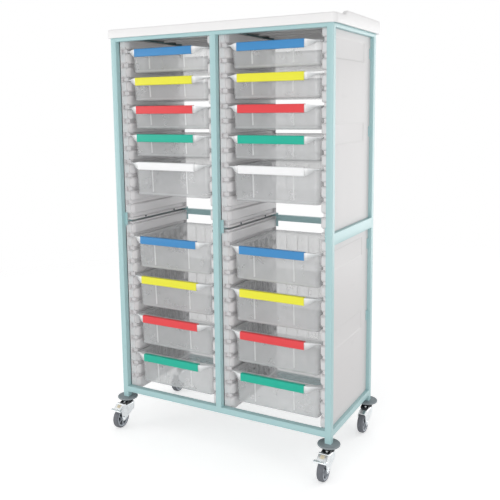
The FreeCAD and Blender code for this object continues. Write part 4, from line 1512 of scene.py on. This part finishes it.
class UNIT_OT_screws(bpy.types.Operator):
    """Screws in the runner panels, a little above the joint between them"""
    bl_idname = "tray_unit.screws"
    bl_label = "Screws"

    def execute(self, context):
        material = surface_material("Screw steel", srgb(70, 76, 80), tone=(80.0, 0.05),
                                    grain=(900.0, 0.32, 0.1), bump=0.05, Metallic=1.0)
        joint = mid_rail_height() + PANEL_JOINT
        front = corners("left_side_frame")[0][Y]
        patches = []
        for side in SIDES:
            centre = joint_place(side + "_tray_slide_1")[X]
            for place in ("outer", "inner"):
                low, high = corners("%s_%s_runners" % (side, place))
                way = 1.0 if (low[X] + high[X]) / 2 < centre else -1.0
                face = high[X] if way > 0 else low[X]
                for setback in SCREW_SETBACKS:
                    patches += screw_patches((face, front + setback, joint + SCREW_RISE), X, way,
                                             SCREW_RADIUS, SCREW_HEIGHT)
        add_piece("panel_joint_screws", patches, material, "cabinet")
        return {"FINISHED"}


# ---- stage -----------------------------------------------------------------------------
def seen_rays(tree):
    """1 for rays from the camera, from mirrors and through glass, and 0 for the light itself."""
    rays = tree.nodes.new("ShaderNodeLightPath")
    seen = rays.outputs["Is Camera Ray"]
    for name in ("Is Transmission Ray", "Is Glossy Ray"):
        seen = add_node(tree, "ShaderNodeMath", {0: seen, 1: rays.outputs[name]},
                        operation="ADD", use_clamp=True).outputs[0]
    return seen


def floor_material(value, glow, near, far):
    """A plain pale floor that is seen as white, keeps the object's shadow, and thins out to
    nothing between two distances from its middle, so that it has no horizon."""
    material = bpy.data.materials.new("Studio floor")
    material.use_nodes = True
    tree = material.node_tree
    shader = tree.nodes["Principled BSDF"]
    shader.inputs["Base Color"].default_value = with_alpha(value)
    shader.inputs["Roughness"].default_value = 0.9
    shader.inputs["Specular IOR Level"].default_value = 0.1
    strength = add_node(tree, "ShaderNodeMath", {0: seen_rays(tree), 1: glow},
                        operation="MULTIPLY")
    shader.inputs["Emission Color"].default_value = (1, 1, 1, 1)
    tree.links.new(strength.outputs[0], shader.inputs["Emission Strength"])
    place = tree.nodes.new("ShaderNodeTexCoord").outputs["Object"]
    distance = add_node(tree, "ShaderNodeVectorMath", {0: place}, operation="LENGTH")
    fade = add_node(tree, "ShaderNodeMapRange", {0: distance.outputs["Value"], 1: near, 2: far,
                                                 3: 1.0, 4: 0.0},
                    interpolation_type="SMOOTHSTEP")
    tree.links.new(fade.outputs[0], shader.inputs["Alpha"])
    return material


def build_world(strength):
    """An even white sky: at the given strength as light, and at full white where it is seen."""
    world = bpy.data.worlds.new("Studio")
    bpy.context.scene.world = world
    world.use_nodes = True
    tree = world.node_tree
    tree.nodes.clear()
    level = reshaped(tree, seen_rays(tree), 0.0, 1.0, strength, 1.0)
    sky = add_node(tree, "ShaderNodeBackground", {"Color": (1, 1, 1, 1), "Strength": level})
    output = tree.nodes.new("ShaderNodeOutputWorld")
    tree.links.new(sky.outputs[0], output.inputs["Surface"])


def add_lamp(name, place, target, size, power):
    """A square area lamp that faces a point."""
    light = bpy.data.lights.new(name, "AREA")
    light.shape = "SQUARE"
    light.size = size
    light.energy = power
    lamp = bpy.data.objects.new(name, light)
    lamp.location = place
    lamp.rotation_euler = (Vector(target) - Vector(place)).to_track_quat("-Z", "Y").to_euler()
    bpy.context.scene.collection.objects.link(lamp)


def add_camera(settings):
    """A camera turned, tilted and rolled as the settings say."""
    data = bpy.data.cameras.new("Camera")
    data.sensor_width = 36
    data.lens = settings.lens
    data.shift_y = settings.shift
    data.clip_start, data.clip_end = 0.05, 60
    camera = bpy.data.objects.new("Camera", data)
    turn, tilt = settings.turn, settings.tilt
    ahead = Vector((-math.sin(turn) * math.cos(tilt), math.cos(turn) * math.cos(tilt),
                    -math.sin(tilt)))
    right = Vector((math.cos(turn), math.sin(turn), 0))
    up = right.cross(ahead)
    leaning = up * math.cos(settings.roll) + right * math.sin(settings.roll)
    right = ahead.cross(leaning)
    axes = Matrix((right, leaning, -ahead)).transposed().to_4x4()
    camera.matrix_world = Matrix.Translation(settings.eye) @ axes
    bpy.context.scene.collection.objects.link(camera)
    bpy.context.scene.camera = camera


class UNIT_OT_stage(bpy.types.Operator):
    """White floor, even sky, soft lamps and the camera"""
    bl_idname = "tray_unit.stage"
    bl_label = "Stage"

    def execute(self, context):
        settings = context.scene.unit_stage
        context.scene.view_settings.view_transform = "Standard"
        build_world(settings.sky)
        reach = settings.floor_end + 0.2
        edge = np.array([(-reach, -reach, 0), (reach, -reach, 0), (reach, reach, 0),
                         (-reach, reach, 0)])
        mesh = bpy.data.meshes.new("studio_floor")
        mesh.from_pydata(edge.tolist(), [], [(0, 1, 2, 3)])
        mesh.materials.append(floor_material(FLOOR_COLOUR, settings.floor_glow,
                                             settings.floor_start, settings.floor_end))
        floor = bpy.data.objects.new("studio_floor", mesh)
        context.scene.collection.objects.link(floor)
        for name, place, size, power in LAMPS:
            add_lamp(name, place, LAMP_TARGET, size, power)
        add_camera(settings)
        return {"FINISHED"}


class UNIT_PT_panel(bpy.types.Panel):
    """Lists the unit's pieces and their sizes"""
    bl_idname = "UNIT_PT_panel"
    bl_label = "Tray unit"
    bl_space_type = "VIEW_3D"
    bl_region_type = "UI"
    bl_category = "Tray unit"

    def draw(self, context):
        for operator in OPERATORS:
            self.layout.operator(operator.bl_idname)
        for name, group in GROUPS.items():
            box = self.layout.box()
            box.label(text=group.__doc__)
            for key in group.__annotations__:
                box.prop(getattr(context.scene, name), key)


OPERATORS = (UNIT_OT_stage, UNIT_OT_frame, UNIT_OT_worktop, UNIT_OT_runner_panels,
             UNIT_OT_side_panels, UNIT_OT_trays, UNIT_OT_clips, UNIT_OT_bumpers, UNIT_OT_forks,
             UNIT_OT_wheels, UNIT_OT_pedals, UNIT_OT_screws)


def register():
    """Registers the sizes, the operators and the panel."""
    for name, group in GROUPS.items():
        bpy.utils.register_class(group)
        setattr(bpy.types.Scene, name, PointerProperty(type=group))
    for operator in OPERATORS:
        bpy.utils.register_class(operator)
    bpy.utils.register_class(UNIT_PT_panel)


def unregister():
    """Undoes register."""
    bpy.utils.unregister_class(UNIT_PT_panel)
    for operator in reversed(OPERATORS):
        bpy.utils.unregister_class(operator)
    for name, group in reversed(GROUPS.items()):
        delattr(bpy.types.Scene, name)
        bpy.utils.unregister_class(group)


def main():
    """Builds every piece and the stage."""
    register()
    for operator in OPERATORS:
        area, name = operator.bl_idname.split(".")
        getattr(getattr(bpy.ops, area), name)()


if __name__ == "__main__":
    main()
